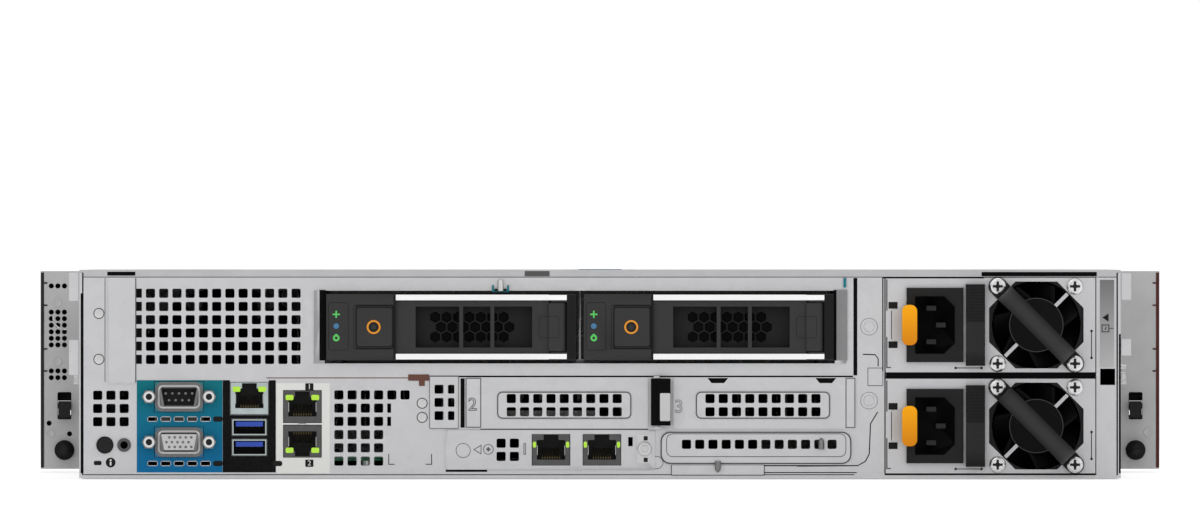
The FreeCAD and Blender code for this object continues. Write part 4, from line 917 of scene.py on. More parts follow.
# ---- Chassis sheet, ears and insides
class SERVER_OT_chassis(bpy.types.Operator):
    """Give the chassis sheet, the ears and the parts inside their finishes"""
    bl_idname = "server.chassis"
    bl_label = "Chassis and insides"

    def execute(self, context):
        zinc = finish(zinc_sheet)
        black = plain("black_moulding")
        board = finish(circuit_board)
        cast = plain("cast_aluminium")
        dress(zinc, "chassis_tray", "rear_upper_panel", "rear_io_panel", "rear_slot_panel", "psu_bay",
              "front_cage", "fan_cage", "slot_covers")
        dress(finish(zinc_sheet, "lid_zinc", 0.86), "top_cover")
        dress(finish(ear_paint), "ear_brackets")
        dress(black, "air_shroud", "cover_latch", "identify_button", "rack_latch_left", "rack_latch_right")
        dress(plain("pit_moulding"), "slot_latch")
        dress(finish(socket_shell), "rear_jacks", "usb_ports")
        dress(plain("fan_moulding"), "fan_frames", *[f"fan_rotor_{number}" for number in range(1, 5)])
        divide("network_card", [
            ("plate", lambda low, high: high.y < WALL + 0.5, zinc, "galvanised_steel"),
            ("board", lambda low, high: high.z - low.z < 2, board, "circuit_board"),
            ("sink", anything, cast, "fin_aluminium")])
        divide("rear_drive_cage", [
            ("board", lambda low, high: high.y - low.y < 2, board, "circuit_board"),
            ("sockets", lambda low, high: high.x - low.x < 60, black, "black_plastic"),
            ("folded", anything, zinc, "galvanised_steel")])
        divide("circuit_boards", [
            ("board", lambda low, high: high.x - low.x > 200, board, "circuit_board"),
            ("chips", anything, black, "black_plastic")])
        divide("heat_sinks", [
            ("processors", lambda low, high: high.z - low.z < 20, zinc, "galvanised_steel"),
            ("fins", anything, cast, "fin_aluminium")])
        divide("memory_modules", [
            ("sockets", lambda low, high: high.x - low.x > 3, black, "black_plastic"),
            ("modules", anything, board, "circuit_board")])
        return {"FINISHED"}


# ---- Labels and printed marks on the rear wall
def label(name, outer, windows, material):
    """Vinyl label round the windows that its sockets need."""
    form = Form()
    thickness = settings("server_labels").thickness / MM
    form.pane(outer, windows, WALL - thickness, WALL)
    return form.piece(name, "chassis", [material], "galvanised_steel")


def slots_row(x, z, count=5):
    """Outlines of a row of vent slots about a middle."""
    first = x - SLOT_PITCH * (count - 1) / 2
    return [rectangle(first + SLOT_PITCH * step - 2.2, first + SLOT_PITCH * step + 2.2, z - 1.1, z + 1.1, 0.8)
            for step in range(count)]


def windows_at(x, heights, half_width, half_height):
    """Outlines of the windows of sockets that stand one above another."""
    return [rectangle(x - half_width, x + half_width, middle - half_height, middle + half_height)
            for middle in heights]


class SERVER_OT_wall_labels(bpy.types.Operator):
    """Lay the vinyl labels round the sockets and print the generic marks"""
    bl_idname = "server.wall_labels"
    bl_label = "Rear labels and marks"

    def execute(self, context):
        look = settings("server_labels")
        low, high = box_mm("dsub_ports")
        floor, top = 2.4, high.z + 0.7
        left, right = LEFT + 22.2, LEFT + 57.9
        outer = [(left, floor), (right, floor), (right, top), (left, top)]
        windows = windows_at(DSUB_X, (low.z + DSUB_INSET, high.z - DSUB_INSET), 10.35, 6.45)
        windows += slots_row(DSUB_X, 6.1) + slots_row(DSUB_X, 24.6)
        colours = tuple(look.teal), tuple(look.blue), floor, top
        label("monitor_label", outer, windows, finish(vinyl, "teal_label", *colours))
        dress(finish(dsub_shell, *colours), "dsub_ports")

        left, right, notch = LEFT + 58.0, LEFT + 80.1, 8.1
        windows = windows_at(JACK_X, (12.8, 21.2), 7.4, 3.6)
        outer = [(left, floor), (right, floor), (right, top), (JACK_X + notch, top), (JACK_X + notch, 26.3),
                 (JACK_X - notch, 26.3), (JACK_X - notch, top), (left, top)]
        black = tuple(look.black)
        label("management_label", outer, windows, finish(vinyl, "black_label", black, black, floor, top))

        floor, top = 2.0, 39.6
        windows = windows_at(LINK_X, (15.4, 29.8), 8.1, 6.9)
        white = tuple(look.white)
        label("network_label", rectangle(LEFT + 80.3, LEFT + 102.6, floor, top), windows,
              finish(vinyl, "white_label", white, white, floor, top))
        self.inks = [plain("dark_ink"), plain("pale_ink")]
        self.label_marks(look)
        self.wall_marks(look)
        self.slot_marks(look)
        return {"FINISHED"}

    def label_marks(self, look):
        """Socket numbers, the network sign and the tags on the labels."""
        relief = look.relief / MM
        face = WALL - look.thickness / MM
        form = Form()
        for number, height in ((1, 38.0), (2, 6.2)):
            form.slot = 0
            form.mark(rectangle(LINK_X + 1.2, LINK_X + 4.6, height - 1.5, height + 1.5, 0.3), face, relief)
            form.slot = 1
            form.digit(str(number), LINK_X + 2.9, height, 3.0, face - relief, relief / 2)
        form.slot = 0
        for x, z in ((0, 23.6), (-1.6, 21.8), (1.6, 21.8)):
            form.mark(rectangle(LINK_X + x - 0.6, LINK_X + x + 0.6, z - 0.5, z + 0.5), face, relief)
        form.block(LINK_X - 1.6, LINK_X + 1.6, face - relief, face, 22.6, 22.8)
        for x, z in ((DSUB_X + 16.2, 6.1), (DSUB_X + 16.2, 24.6), (LEFT + 80.8, 6.1)):
            form.mark(rectangle(x - 2.0, x + 2.0, z - 1.1, z + 1.1, 0.9), face, relief)
        form.piece("label_marks", "chassis", self.inks, "galvanised_steel")

    def wall_marks(self, look):
        """Round sign and corner ticks printed on the bare sheet, and dark rings of painted shade round the
        rivets.
        """
        relief = look.relief / MM
        form = Form()
        x, z = LEFT + 11.3, 6.5
        form.mark(circle(x, z, 2.05), WALL, relief)
        form.mark(rectangle(LEFT + 4.3, LEFT + 7.5, 5.4, 7.2, 0.6), WALL, relief)
        for end, way in ((-88.2, 1), (-70.0, -1)):
            form.block(end, end + way * 0.35, WALL - relief, WALL, 5.6, 10.1)
            form.block(end, end + way * 2.6, WALL - relief, WALL, 5.6, 5.95)
        # Painted shade: dark rings round the rivet heads.
        for rivet_x, rivet_z in ((-208.8, 49.5), (-208.8, 68.6), (-74.1, 25.3), (-74.1, 31.2)):
            form.mark(circle(rivet_x, rivet_z, 2.28), WALL, relief, [circle(rivet_x, rivet_z, 1.95)])
        form.slot = 1
        form.mark(rectangle(x - 0.35, x + 0.35, z - 1.2, z + 0.35), WALL, 2 * relief)
        form.mark(circle(x, z + 1.0, 0.42, 12), WALL, 2 * relief)
        form.piece("wall_marks", "chassis", self.inks, "galvanised_steel")

    def slot_marks(self, look):
        """Slot numbers, with the signs beside them, and the lines of painted shade round the embossing of the
        slot covers.
        """
        relief = look.relief / MM
        line = plain("grey_ink")
        sheet = finish(zinc_sheet)
        form = Form()
        form.outlined("2", -53.1, 30.5, 7.4, PLATE, relief)
        form.outlined("1", -31.4, 11.9, 6.6, PLATE, relief)
        form.slot = 0
        form.mark([(-49.4, 14.0), (-49.4, 9.8), (-52.8, 11.9)], PLATE, relief,
                  [[(-49.7, 13.4), (-49.7, 10.4), (-52.2, 11.9)]])
        x, z = -46.5, 12.0
        form.mark(circle(x, z, 2.2), PLATE, relief, [circle(x, z, 1.9)])
        form.mark(plus_outline(x, z, 0.9, 0.35), PLATE, relief)
        form.piece("slot_numbers", "chassis", [line, sheet], "galvanised_steel")
        form = Form()
        form.outlined("3", 32.9, 29.6, 7.6, PLATE, relief)
        form.piece("slot_number_right", "chassis", [plain("faint_ink"), sheet], "galvanised_steel")

        # Painted shade: dark lines along the edges of the embossing on the slot covers.
        emboss_outline_shade = Form()
        raised = COVERS_LOW.y
        for x in (-14.9, 67.9):
            emboss_outline_shade.pane(rectangle(x - 28.0, x + 28.0, 24.7, 36.1, 2.2),
                         [rectangle(x - 27.45, x + 27.45, 25.25, 35.55, 1.7)], raised - relief, raised)
        emboss_outline_shade.piece("emboss_lines", "chassis", [line], "galvanised_steel")


# ---- Sockets
def contact_row(form, x, face, middle, side, count, pitch):
    """Sprung contacts that slope back from the mouth of a socket."""
    start = x - pitch * (count - 1) / 2
    for number in range(count):
        place = start + pitch * number
        path = [(place, face + 8.5, middle - side * 0.6), (place, face + 2.2, middle + side * 2.4),
                (place, face + 1.4, middle + side * 3.0), (place, face + 1.2, middle + side * 3.7)]
        form.wire(path, 0.2, 6)


def dsub_mouth(x, z, half_foot, half_top, half_height):
    """Outline of a mouth that is wider at its top than at its foot."""
    return [(x - half_foot, z - half_height), (x + half_foot, z - half_height),
            (x + half_top, z + half_height), (x - half_top, z + half_height)]


class SERVER_OT_sockets(bpy.types.Operator):
    """Fit contacts, lamps, springs and tongues to the rear sockets"""
    bl_idname = "server.sockets"
    bl_label = "Rear sockets"

    def execute(self, context):
        contact = plain("worn_contact")
        self.jacks(contact)
        low, high = box_mm("usb_ports")
        x = (low.x + high.x) / 2
        tongues, pads = Form(), Form()
        for middle in (low.z + 4.0, low.z + 12.4):
            tongues.block(x - 5.7, x + 5.7, low.y + 0.4, low.y + 12.0, middle + 0.3, middle + 2.4)
            for number in range(4):
                place = x + (number - 1.5) * 2.4
                pads.block(place - 0.5, place + 0.5, low.y + 1.2, low.y + 10.0, middle + 0.22, middle + 0.4)
        tongues.piece("serial_tongues", "chassis", [plain("tongue_blue")], "connector_shell", edge=0.2)
        pads.piece("serial_pads", "chassis", [contact], "connector_shell")
        self.dsub_details()
        return {"FINISHED"}

    def jacks(self, contact):
        """Contacts, lamps and side springs of every jack."""
        mesh, found = solids("rear_jacks")
        mesh.free()
        jacks = [(low, high) for _, low, high in found if high.x - low.x > 10]
        lowest = min(jacks, key=lambda box: box[0].z + abs(box[0].x - LEFT - 83.4))
        contacts, lights, frames = Form(), Form(), Form()
        for low, high in jacks:
            x, face, middle = (low.x + high.x) / 2, low.y, high.z - 6.6
            side = -1 if abs(low.z - lowest[0].z) < 1 and abs(low.x - lowest[0].x) < 1 else 1
            on_card = face < WALL - 0.5
            inner, outer, foot, top = (6.2, 7.6, 0.9, 3.4) if on_card else (3.7, 7.0, 2.7, 4.9)
            contact_row(contacts, x, face, middle, -side, 8, 1.02)
            for way in (-1, 1):
                lights.pane(rectangle(x + way * inner, x + way * outer, middle + side * foot,
                                      middle + side * top, 0.6), [], face - 0.15, face + 0.8)
                frames.block(x + way * 5.6, x + way * 5.85, face + 0.2, face + 5.0, middle - 2.2,
                             middle + 1.8)
        contacts.piece("jack_contacts", "chassis", [contact], "connector_shell")
        lights.piece("jack_lamps", "chassis", [plain("link_lamp")], "connector_shell", edge=0.12)
        frames.piece("jack_springs", "chassis", [plain("plated_steel")], "connector_shell", edge=0.05)

    def dsub_details(self):
        """Pin face of the monitor socket and the dark floors of both shells: a black sheet of painted shade
        behind the monitor socket's holes, and the dark insert of the serial shell.
        """
        low, high = box_mm("dsub_ports")
        x = (low.x + high.x) / 2
        video, serial = low.z + DSUB_INSET, high.z - DSUB_INSET
        front = low.y
        face = Form()
        first, pitch = 4.6, 2.3
        holes = []
        for rise, shift in ((2.0, 0.0), (0.0, 1.15), (-2.0, 0.0)):
            holes += [circle(x - first + pitch * number - shift + 0.55, video + rise, 0.58, 12)
                      for number in range(5)]
        face.pane(dsub_mouth(x, video, 6.2, 6.2 + 1.2, 3.3), holes, front + 0.12, front + 0.49)
        face.piece("video_face", "chassis", [plain("pale_moulding")], "connector_shell")
        # Painted shade behind the monitor socket's holes; the serial floor is its dark insert.
        back = Form()
        back.pane(dsub_mouth(x, video, 6.0, 7.1, 3.1), [], front + 0.6, front + 0.9)
        back.pane(dsub_mouth(x, serial, 5.9, 7.2, 3.4), [], WALL - 1.6, WALL - 0.01)
        back.piece("dsub_floors", "chassis", [plain("black_moulding")], "connector_shell", edge=0.05)


class SERVER_OT_fasteners(bpy.types.Operator):
    """Shape the rivets, jack posts, rail studs and rack screws"""
    bl_idname = "server.fasteners"
    bl_label = "Rivets, posts and screws"

    def execute(self, context):
        steel, bright, dark = plain("plated_steel"), plain("screw_steel"), plain("dark_steel")
        node = "chassis_fasteners"
        thickest_rivet, front_end = 2.3, 300.0
        rest = divide(node, [
            ("knobs", lambda low, high: low.y > front_end, dark, "hardware_steel"),
            ("studs", lambda low, high: high.y > WALL + 6, steel, "hardware_steel")])
        posts, rivets = Form(), Form()
        for low, high in rest:
            x, z = centre(low, high)
            radius = (high.x - low.x) / 2
            if radius > thickest_rivet:
                bore = circle(x, z, radius * 0.5)
                posts.slot = 0
                posts.pane(circle(x, z, radius * 1.12, 6), [bore], low.y + 0.3, high.y - 1.0)
                posts.slot = 1
                posts.pane(circle(x, z, radius * 0.84), [bore], low.y, low.y + 0.3)
                posts.slot = 2
                posts.pane(bore, [], low.y + 0.9, high.y - 0.6)
            else:
                rivets.dome(x, z, high.y, radius, ((0.95, 0), (0.95, -0.3), (0.85, -0.45), (0.7, -0.5),
                                                   (0.1, -0.52)))
        posts.piece("jack_posts", "chassis", [plain("post_steel"), bright, dark], "hardware_steel",
                    stands_for=[node])
        rivets.piece("wall_rivets", "chassis", [steel], "hardware_steel", stands_for=[node])
        return {"FINISHED"}


# ---- Drive carriers
# Thin dark frames of painted shade in the bezel's grooves, from its lower left corner: left, right, foot,
# top, line.
CARRIER_LINES = ((0.9, 9.3, 4.1, 24.1, 0.2), (11.4, 28.2, 4.5, 23.1, 0.2), (12.2, 27.9, 5.3, 22.3, 0.55))
# Dark bands of painted shade and bright rail bands on a bezel: left, right, foot, top, place in the list of
# finishes.
CARRIER_BANDS = ((27.95, 28.95, 0.3, 27.3, 2), (100.2, 103.9, 0.3, 27.3, 2), (92.8, 100.2, 0.45, 2.6, 3),
                 (92.8, 100.2, 25.0, 27.15, 3))


def plus_outline(x, z, arm, half):
    """Closed outline of a plus sign."""
    turn = ((half, arm), (-half, arm), (-half, half), (-arm, half), (-arm, -half), (-half, -half),
            (-half, -arm), (half, -arm), (half, -half), (arm, -half), (arm, half), (half, half))
    return [(x + a, z + b) for a, b in turn]


def cells(x0, x1, middle, rows, pitch, web):
    """Outlines of staggered rows of six-sided cells between two ends."""
    x0, x1 = sorted((x0, x1))
    rise = pitch * math.sqrt(3) / 2
    found = []
    for row in range(rows):
        z = middle + (row - (rows - 1) / 2) * rise
        x = x0 + pitch / 2 * (1 + row % 2)
        while x + pitch / 2 <= x1:
            found.append(circle(x, z, (pitch - web) / math.sqrt(3), 6, 30))
            x += pitch
    return found


class SERVER_OT_carriers(bpy.types.Operator):
    """Finish the drive carriers and fit their honeycomb, lamps and button rings"""
    bl_idname = "server.carriers"
    bl_label = "Drive carriers"

    def execute(self, context):
        bezel = plain("bezel_moulding")
        cast = plain("drive_casting")
        self.dark = plain("black_moulding")
        self.prints = [plain(name) for name in ("ready_lamp", "locate_lamp", "dark_ink", "rail_ink")]

        low = box_mm("rear_sled_left")[0]
        frame_finish = carrier_frame("rear_bezel", low.y, 1)
        handle_finish = carrier_handle("rear_handle", low.z + HANDLE_FOOT, 100.0)
        for side in SIDES:
            node = f"rear_sled_{side}"
            divide(node, [("drive", lambda low, high: high.y - low.y < 150, cast, "fin_aluminium"),
                          ("frame", anything, frame_finish, "bezel_plastic")])
            dress(handle_finish, f"rear_handle_{side}")
            dress(bezel, f"rear_button_{side}")
            bodies = [body_of(f"rear_{part}_{side}") for part in ("sled", "button", "handle")]
            self.details(side, Bay(node, 1), *bodies)

        low, high = box_mm("front_carrier_1")
        frame_finish = carrier_frame("front_bezel", high.y, -1)
        handle_finish = carrier_handle("front_handle", low.z + HANDLE_FOOT, CARRIER_PITCH)
        for node in FRONT_CARRIERS:
            divide(node, [("drive", lambda low, high: 140 < high.y - low.y < 150, cast, "fin_aluminium"),
                          ("button", lambda low, high: high.x - low.x < 20, bezel, "bezel_plastic"),
                          ("handle", lambda low, high: high.y - low.y < 6, handle_finish, "bezel_plastic"),
                          ("frame", anything, frame_finish, "bezel_plastic")])
            self.details(node[-2:].strip("_"), Bay(node, -1), *[body_of(node)] * 3)
        return {"FINISHED"}

    def details(self, tag, bay, sled, button, handle):
        """Marks, button ring, honeycomb and handle mark of one carrier, with painted shade in the bezel's
        grooves and behind the honeycomb.
        """
        look = settings("server_carriers")
        out = settings("server_labels").relief / MM
        face, thin, thick = bay.y(0), bay.y(-out / 2), bay.y(-out)
        up = bay.z(13.8)
        marks = Form()
        place, disc = bay.x(4.16), bay.z(9.25)
        marks.pane(plus_outline(place, bay.z(19.1), 1.5, 0.32), [], thick, face)
        marks.pane(circle(place, disc, 1.4), [circle(place, disc, 0.62)], thick, face)
        marks.pane(rectangle(place - 0.5, place + 0.5, bay.z(10.2), bay.z(10.9)), [], bay.y(-out * 1.5), face)
        marks.slot = 1
        marks.pane(circle(place, bay.z(14.2), 1.15), [], thick, face)
        # Painted shade: dark frames and bands where the bezel's grooves show dark.
        marks.slot = 2
        for x0, x1, z0, z1, line in CARRIER_LINES:
            inner = rectangle(bay.x(x0 + line), bay.x(x1 - line), bay.z(z0 + line), bay.z(z1 - line), 1.0)
            marks.pane(rectangle(bay.x(x0), bay.x(x1), bay.z(z0), bay.z(z1), 1.2), [inner], thin, face)
        for x0, x1, z0, z1, slot in CARRIER_BANDS:
            marks.slot = slot
            marks.block(bay.x(x0), bay.x(x1), thin, face, bay.z(z0), bay.z(z1))
        marks.piece(f"carrier_marks_{tag}", sled, self.prints, "bezel_plastic")

        radius = look.ring_radius / MM
        inside = radius - look.ring_width / MM
        ring = Form()
        x = bay.x(19.75)
        ring.pane(circle(x, up, radius), [circle(x, up, inside)], bay.y(-2 * out), face)
        ring.slot = 1
        ring.pane(circle(x, up, inside), [circle(x, up, 1.1)], thick, face)
        ring.piece(f"button_ring_{tag}", button, [plain("ring_ink"), self.dark], "bezel_plastic")

        depth, half = look.mesh_depth / MM, 9.4
        screen = Form()
        x0, x1 = bay.x(36.0), bay.x(87.0)
        screen.pane(rectangle(x0, x1, up - half, up + half),
                    cells(bay.x(43.0), bay.x(80.8), up, 3, look.cell / MM, look.web / MM),
                    bay.y(depth), bay.y(depth + 0.6))
        # Painted shade: a near-black block behind the honeycomb darkens its cells.
        screen.slot = 1
        screen.block(x0, x1, bay.y(depth + 1.0), bay.y(depth + 1.3), up - half, up + half)
        screen.piece(f"honeycomb_{tag}", sled, [plain("web_moulding"), plain("pit_moulding")],
                     "bezel_plastic")

        end = Form()
        end.pane(rectangle(bay.x(88.6), bay.x(97.0), up - 4.6, up + 4.6, 0.8),
                 [rectangle(bay.x(88.8), bay.x(96.8), up - 4.4, up + 4.4, 0.6)], thin, face)
        end.piece(f"handle_mark_{tag}", handle, [self.dark], "bezel_plastic")


# ---- Power supplies
def release_moulding(name, low_z, high_z):
    """Bright release tab, lighter towards its top: a painted highlight."""
    look = settings("server_plastic")
    shade = Shade(name, sheen=TAB_SHEEN)
    rise = ((shade.axis(2) - low_z) / (high_z - low_z)).clear()
    grain = shade.noise(look.grain, detail=2.0)
    # Painted highlight: the tab turns lighter from its foot colour towards its top.
    shade.paint(shade.mix(rise, look.release, (0.90, 0.37, 0.001)))
    shade.polish(0.34 + grain * 0.14)
    shade.emboss(grain, 0.00004)
    return shade.material


class SERVER_OT_supplies(bpy.types.Operator):
    """Finish the power supplies and fit their screws, struts and marks"""
    bl_idname = "server.supplies"
    bl_label = "Power supplies"

    def execute(self, context):
        zinc, black = finish(zinc_sheet), plain("black_moulding")
        for level in LEVELS:
            case, fittings = f"psu_case_{level}", f"psu_fittings_{level}"
            case_low, case_high = box_mm(case)
            left, middle = case_low.x, (case_low.z + case_high.z) / 2
            divide(case, [("frame", lambda low, high: high.x - low.x < 50, black, "black_plastic"),
                          ("shell", anything, zinc, "galvanised_steel")])
            rest = divide(fittings, [
                ("inlet", lambda low, high: high.x - low.x > 20 and high.y > WALL, black, "black_plastic"),
                ("blades", lambda low, high: high.x - low.x < 5, plain("blade_nickel"), "hardware_steel"),
                ("strap", lambda low, high: 7.5 < high.x - low.x < 9, finish(webbing), "black_plastic")])
            heads = Form()
            for low, high in rest:
                heads.screw(*centre(low, high), (high.x - low.x) / 2, high.y - low.y, high.y)
            heads.piece(f"supply_screws_{level}", body_of(case), [plain("screw_steel"), plain("dark_steel")],
                        "hardware_steel", stands_for=[fittings])
            self.release_tab(level, middle)
            dress(plain("rotor_moulding"), f"psu_rotor_{level}")
            fan_x = left + FAN_INSET
            dress(pull_handle(f"handle_nylon_{level}", fan_x, middle), f"psu_handle_{level}")
            self.fan_details(level, fan_x, middle, zinc)
            self.face_details(level, left, middle)
        return {"FINISHED"}

    def release_tab(self, level, middle):
        """Pillow-shaped bright tab on a flat pale stem."""
        node = f"psu_latch_{level}"
        low, high = box_mm(node)
        tab = Form()
        tab.pane(rectangle(low.x + 4.2, high.x, low.z, high.z, 2.6, 8), [], low.y, low.y + 5.4)
        tab.slot = 1
        tab.block(low.x, low.x + 6.5, WALL - 1.2, high.y, middle - 6.4, middle + 6.4)
        tab.piece(f"release_tab_{level}", body_of(node),
                  [release_moulding(f"release_{level}", low.z, high.z), plain("pale_moulding")],
                  "orange_plastic", edge=1.5, stands_for=[node])

    def fan_details(self, level, x, middle, zinc):
        """Rim of the fan's hub and the two struts that run aslant from it."""
        rotor_low = box_mm(f"psu_rotor_{level}")[0].y
        rim = Form()
        rim.pane(circle(x, middle, 11.3, 48), [circle(x, middle, 11.0, 48)], rotor_low - 0.12, rotor_low)
        rim.piece(f"hub_rim_{level}", body_of(f"psu_rotor_{level}"), [plain("rim_moulding")],
                  "black_plastic")
        struts = Form()
        along = math.sqrt(0.5)
        for way in (-1, 1):
            near, far, half = 11.2 * way, 18.4 * way, 0.75
            corners = [(near, -half), (far, -half), (far, half), (near, half)]
            struts.pane([(x + along * (a - b), middle + along * (a + b)) for a, b in corners], [],
                        WALL + 0.05, WALL + 0.75)
        struts.piece(f"fan_struts_{level}", body_of(f"psu_case_{level}"), [zinc], "galvanised_steel",
                     edge=0.1)

    def face_details(self, level, left, middle):
        """Printed lines on the face of a supply, and dark corner bands and edge lines of painted shade at its
        left end.
        """
        out = settings("server_labels").relief / MM
        marks = Form()
        for x, z, half_width, half_height in ((left + 85.8, middle - 8.1, 0.0, 5.6),
                                              (left + 34.6, middle - 17.9, 5.4, 0.0)):
            line_x, line_z = half_width or 0.18, half_height or 0.18
            marks.mark(rectangle(x - line_x, x + line_x, z - line_z, z + line_z), WALL, out)
            for way in (-1, 1):
                marks.mark(circle(x + way * half_width, z + way * half_height, 0.55, 16), WALL, out * 1.2)
        # Painted shade: dark bands by the release tab's stem and dark lines along the supply's left edge.
        for rise in (-8.2, 8.2):
            marks.block(left + 1.2, left + 5.0, WALL - out, WALL, middle + rise - 1.4, middle + rise + 1.4)
        for width, foot, top in ((0.75, -17.5, -5.0), (0.75, 6.0, 19.0), (2.2, -17.9, -17.5)):
            marks.block(left + 0.3, left + width, WALL - out, WALL, middle + foot, middle + top)
        marks.piece(f"supply_marks_{level}", body_of(f"psu_case_{level}"), [plain("dark_ink")],
                    "galvanised_steel")


class SERVER_OT_supply_label(bpy.types.Operator):
    """Lay the brushed strip with the supply number beside the upper supply"""
    bl_idname = "server.supply_label"
    bl_label = "Supply strip"

    def execute(self, context):
        look = settings("server_labels")
        out, relief = look.thickness / MM, look.relief / MM
        right, foot, top = BAY_HIGH.x, 46.2, 82.6
        strip = Form()
        strip.mark(rectangle(right - 6.9, right - 1.0, foot, top, 0.3), WALL, out)
        strip.piece("supply_strip", "chassis", [vinyl("strip_grey", grey(0.16), grey(0.43), foot, top)],
                    "galvanised_steel")
        marks = Form()
        x, face = right - 4.6, WALL - out
        marks.mark([(x - 1.3, 66.9), (x + 1.3, 65.2), (x + 1.3, 68.6)], face, relief)
        marks.mark(rectangle(x - 1.6, x + 1.6, 60.8, 64.0), face, relief,
                   [rectangle(x - 1.25, x + 1.25, 61.15, 63.65)])
        marks.mark([(x - 0.5, 62.2), (x + 0.1, 62.5), (x - 0.1, 63.3), (x + 0.6, 62.6), (x + 0.1, 62.2),
                    (x + 0.2, 61.5)], face, relief)
        marks.digit("1", x + 2.6, 62.4, 2.6, face, relief, turn=90)
        marks.piece("supply_strip_marks", "chassis", [plain("dark_ink")], "galvanised_steel")
        return {"FINISHED"}


# ---- Slot wall
def ribbon(path, width):
    """Closed outline of a line of the given width along points (x, z)."""
    sides = ([], [])
    for number, (x, z) in enumerate(path):
        before, after = path[max(number - 1, 0)], path[min(number + 1, len(path) - 1)]
        dx, dz = after[0] - before[0], after[1] - before[1]
        reach = width / 2 / math.hypot(dx, dz)
        sides[0].append((x - dz * reach, z + dx * reach))
        sides[1].append((x + dz * reach, z - dx * reach))
    return sides[0] + sides[1][::-1]


def frame_line(form, x0, x1, z0, z1, line, y, relief, corner=0.3):
    """Thin rectangular line on a face."""
    form.mark(rectangle(x0, x1, z0, z1, corner), y, relief,
              [rectangle(x0 + line, x1 - line, z0 + line, z1 - line, max(corner - line, 0.05))])


# Small sheet tabs on the wall: left, right, foot, top.
LOW_TAB = (29.6, 68.6, 1.1, 5.7)
SIDE_TAB = (-71.1, -58.9, 20.6, 42.5)
# Black strips of painted shade where gaps on the rear wall show dark: left, right, foot, top.
GAP_SHADES = ((-216.4, -215.5, 2.0, 77.0), (215.2, 215.6, 2.0, 83.0), (216.2, 217.0, 2.0, 60.0),
        (-71.0, 105.4, 42.05, 42.7), (-58.1, -56.4, 21.0, 41.6), (105.6, 107.2, 42.8, 83.4),
        (30.0, 68.6, 4.9, 5.7), (68.6, 106.0, 4.95, 5.4), (117.6, 118.1, 44.5, 83.9),
        (118.5, 119.0, 2.0, 83.2), (117.6, 160.0, 83.2, 83.8), (-50.0, 20.0, 20.2, 20.6),
        (30.0, 107.0, 2.1, 2.5), (-215.0, 106.0, 1.25, 1.6), (-64.3, -47.0, 2.6, 3.5),
        (BAY_HIGH.x - 96.0, BAY_HIGH.x - 8.6, 41.6, 43.9))
# Painted shade in gaps that bend, as points (x, z).
BENT_GAP_SHADES = (((82.0, 5.0), (107.4, 5.2), (110.6, 7.0), (112.2, 10.1), (112.7, 22.6), (115.7, 27.6)),
             ((109.5, 51.6), (114.7, 51.4), (115.9, 49.7), (115.9, 46.6)))
# Dark lines of painted shade along the press lines round the slot plates: left, right, foot, top, line,
# corner.
PRESS_LINE_SHADES = ((-56.0, -49.5, 21.0, 41.8, 0.4, 0.3), (102.3, 106.4, 20.9, 41.8, 0.4, 0.3),
               (25.2, 104.8, 5.8, 19.4, 0.6, 4.0), (27.6, 102.6, 8.8, 18.6, 0.3, 2.6),
               (*SIDE_TAB, 0.25, 0.3))
# Dark rings of painted shade round dimples: x, z, radius, face.
DIMPLE_SHADE_RINGS = ((-57.0, 11.5, 3.1, PLATE), (23.7, 6.5, 2.7, WALL), (112.1, 63.1, 3.6, WALL),
         (112.1, 32.3, 3.6, WALL))
# The wall of the rear drive bay shows between these heights.
BAY_FOOT, BAY_TOP = 49.0, 78.4


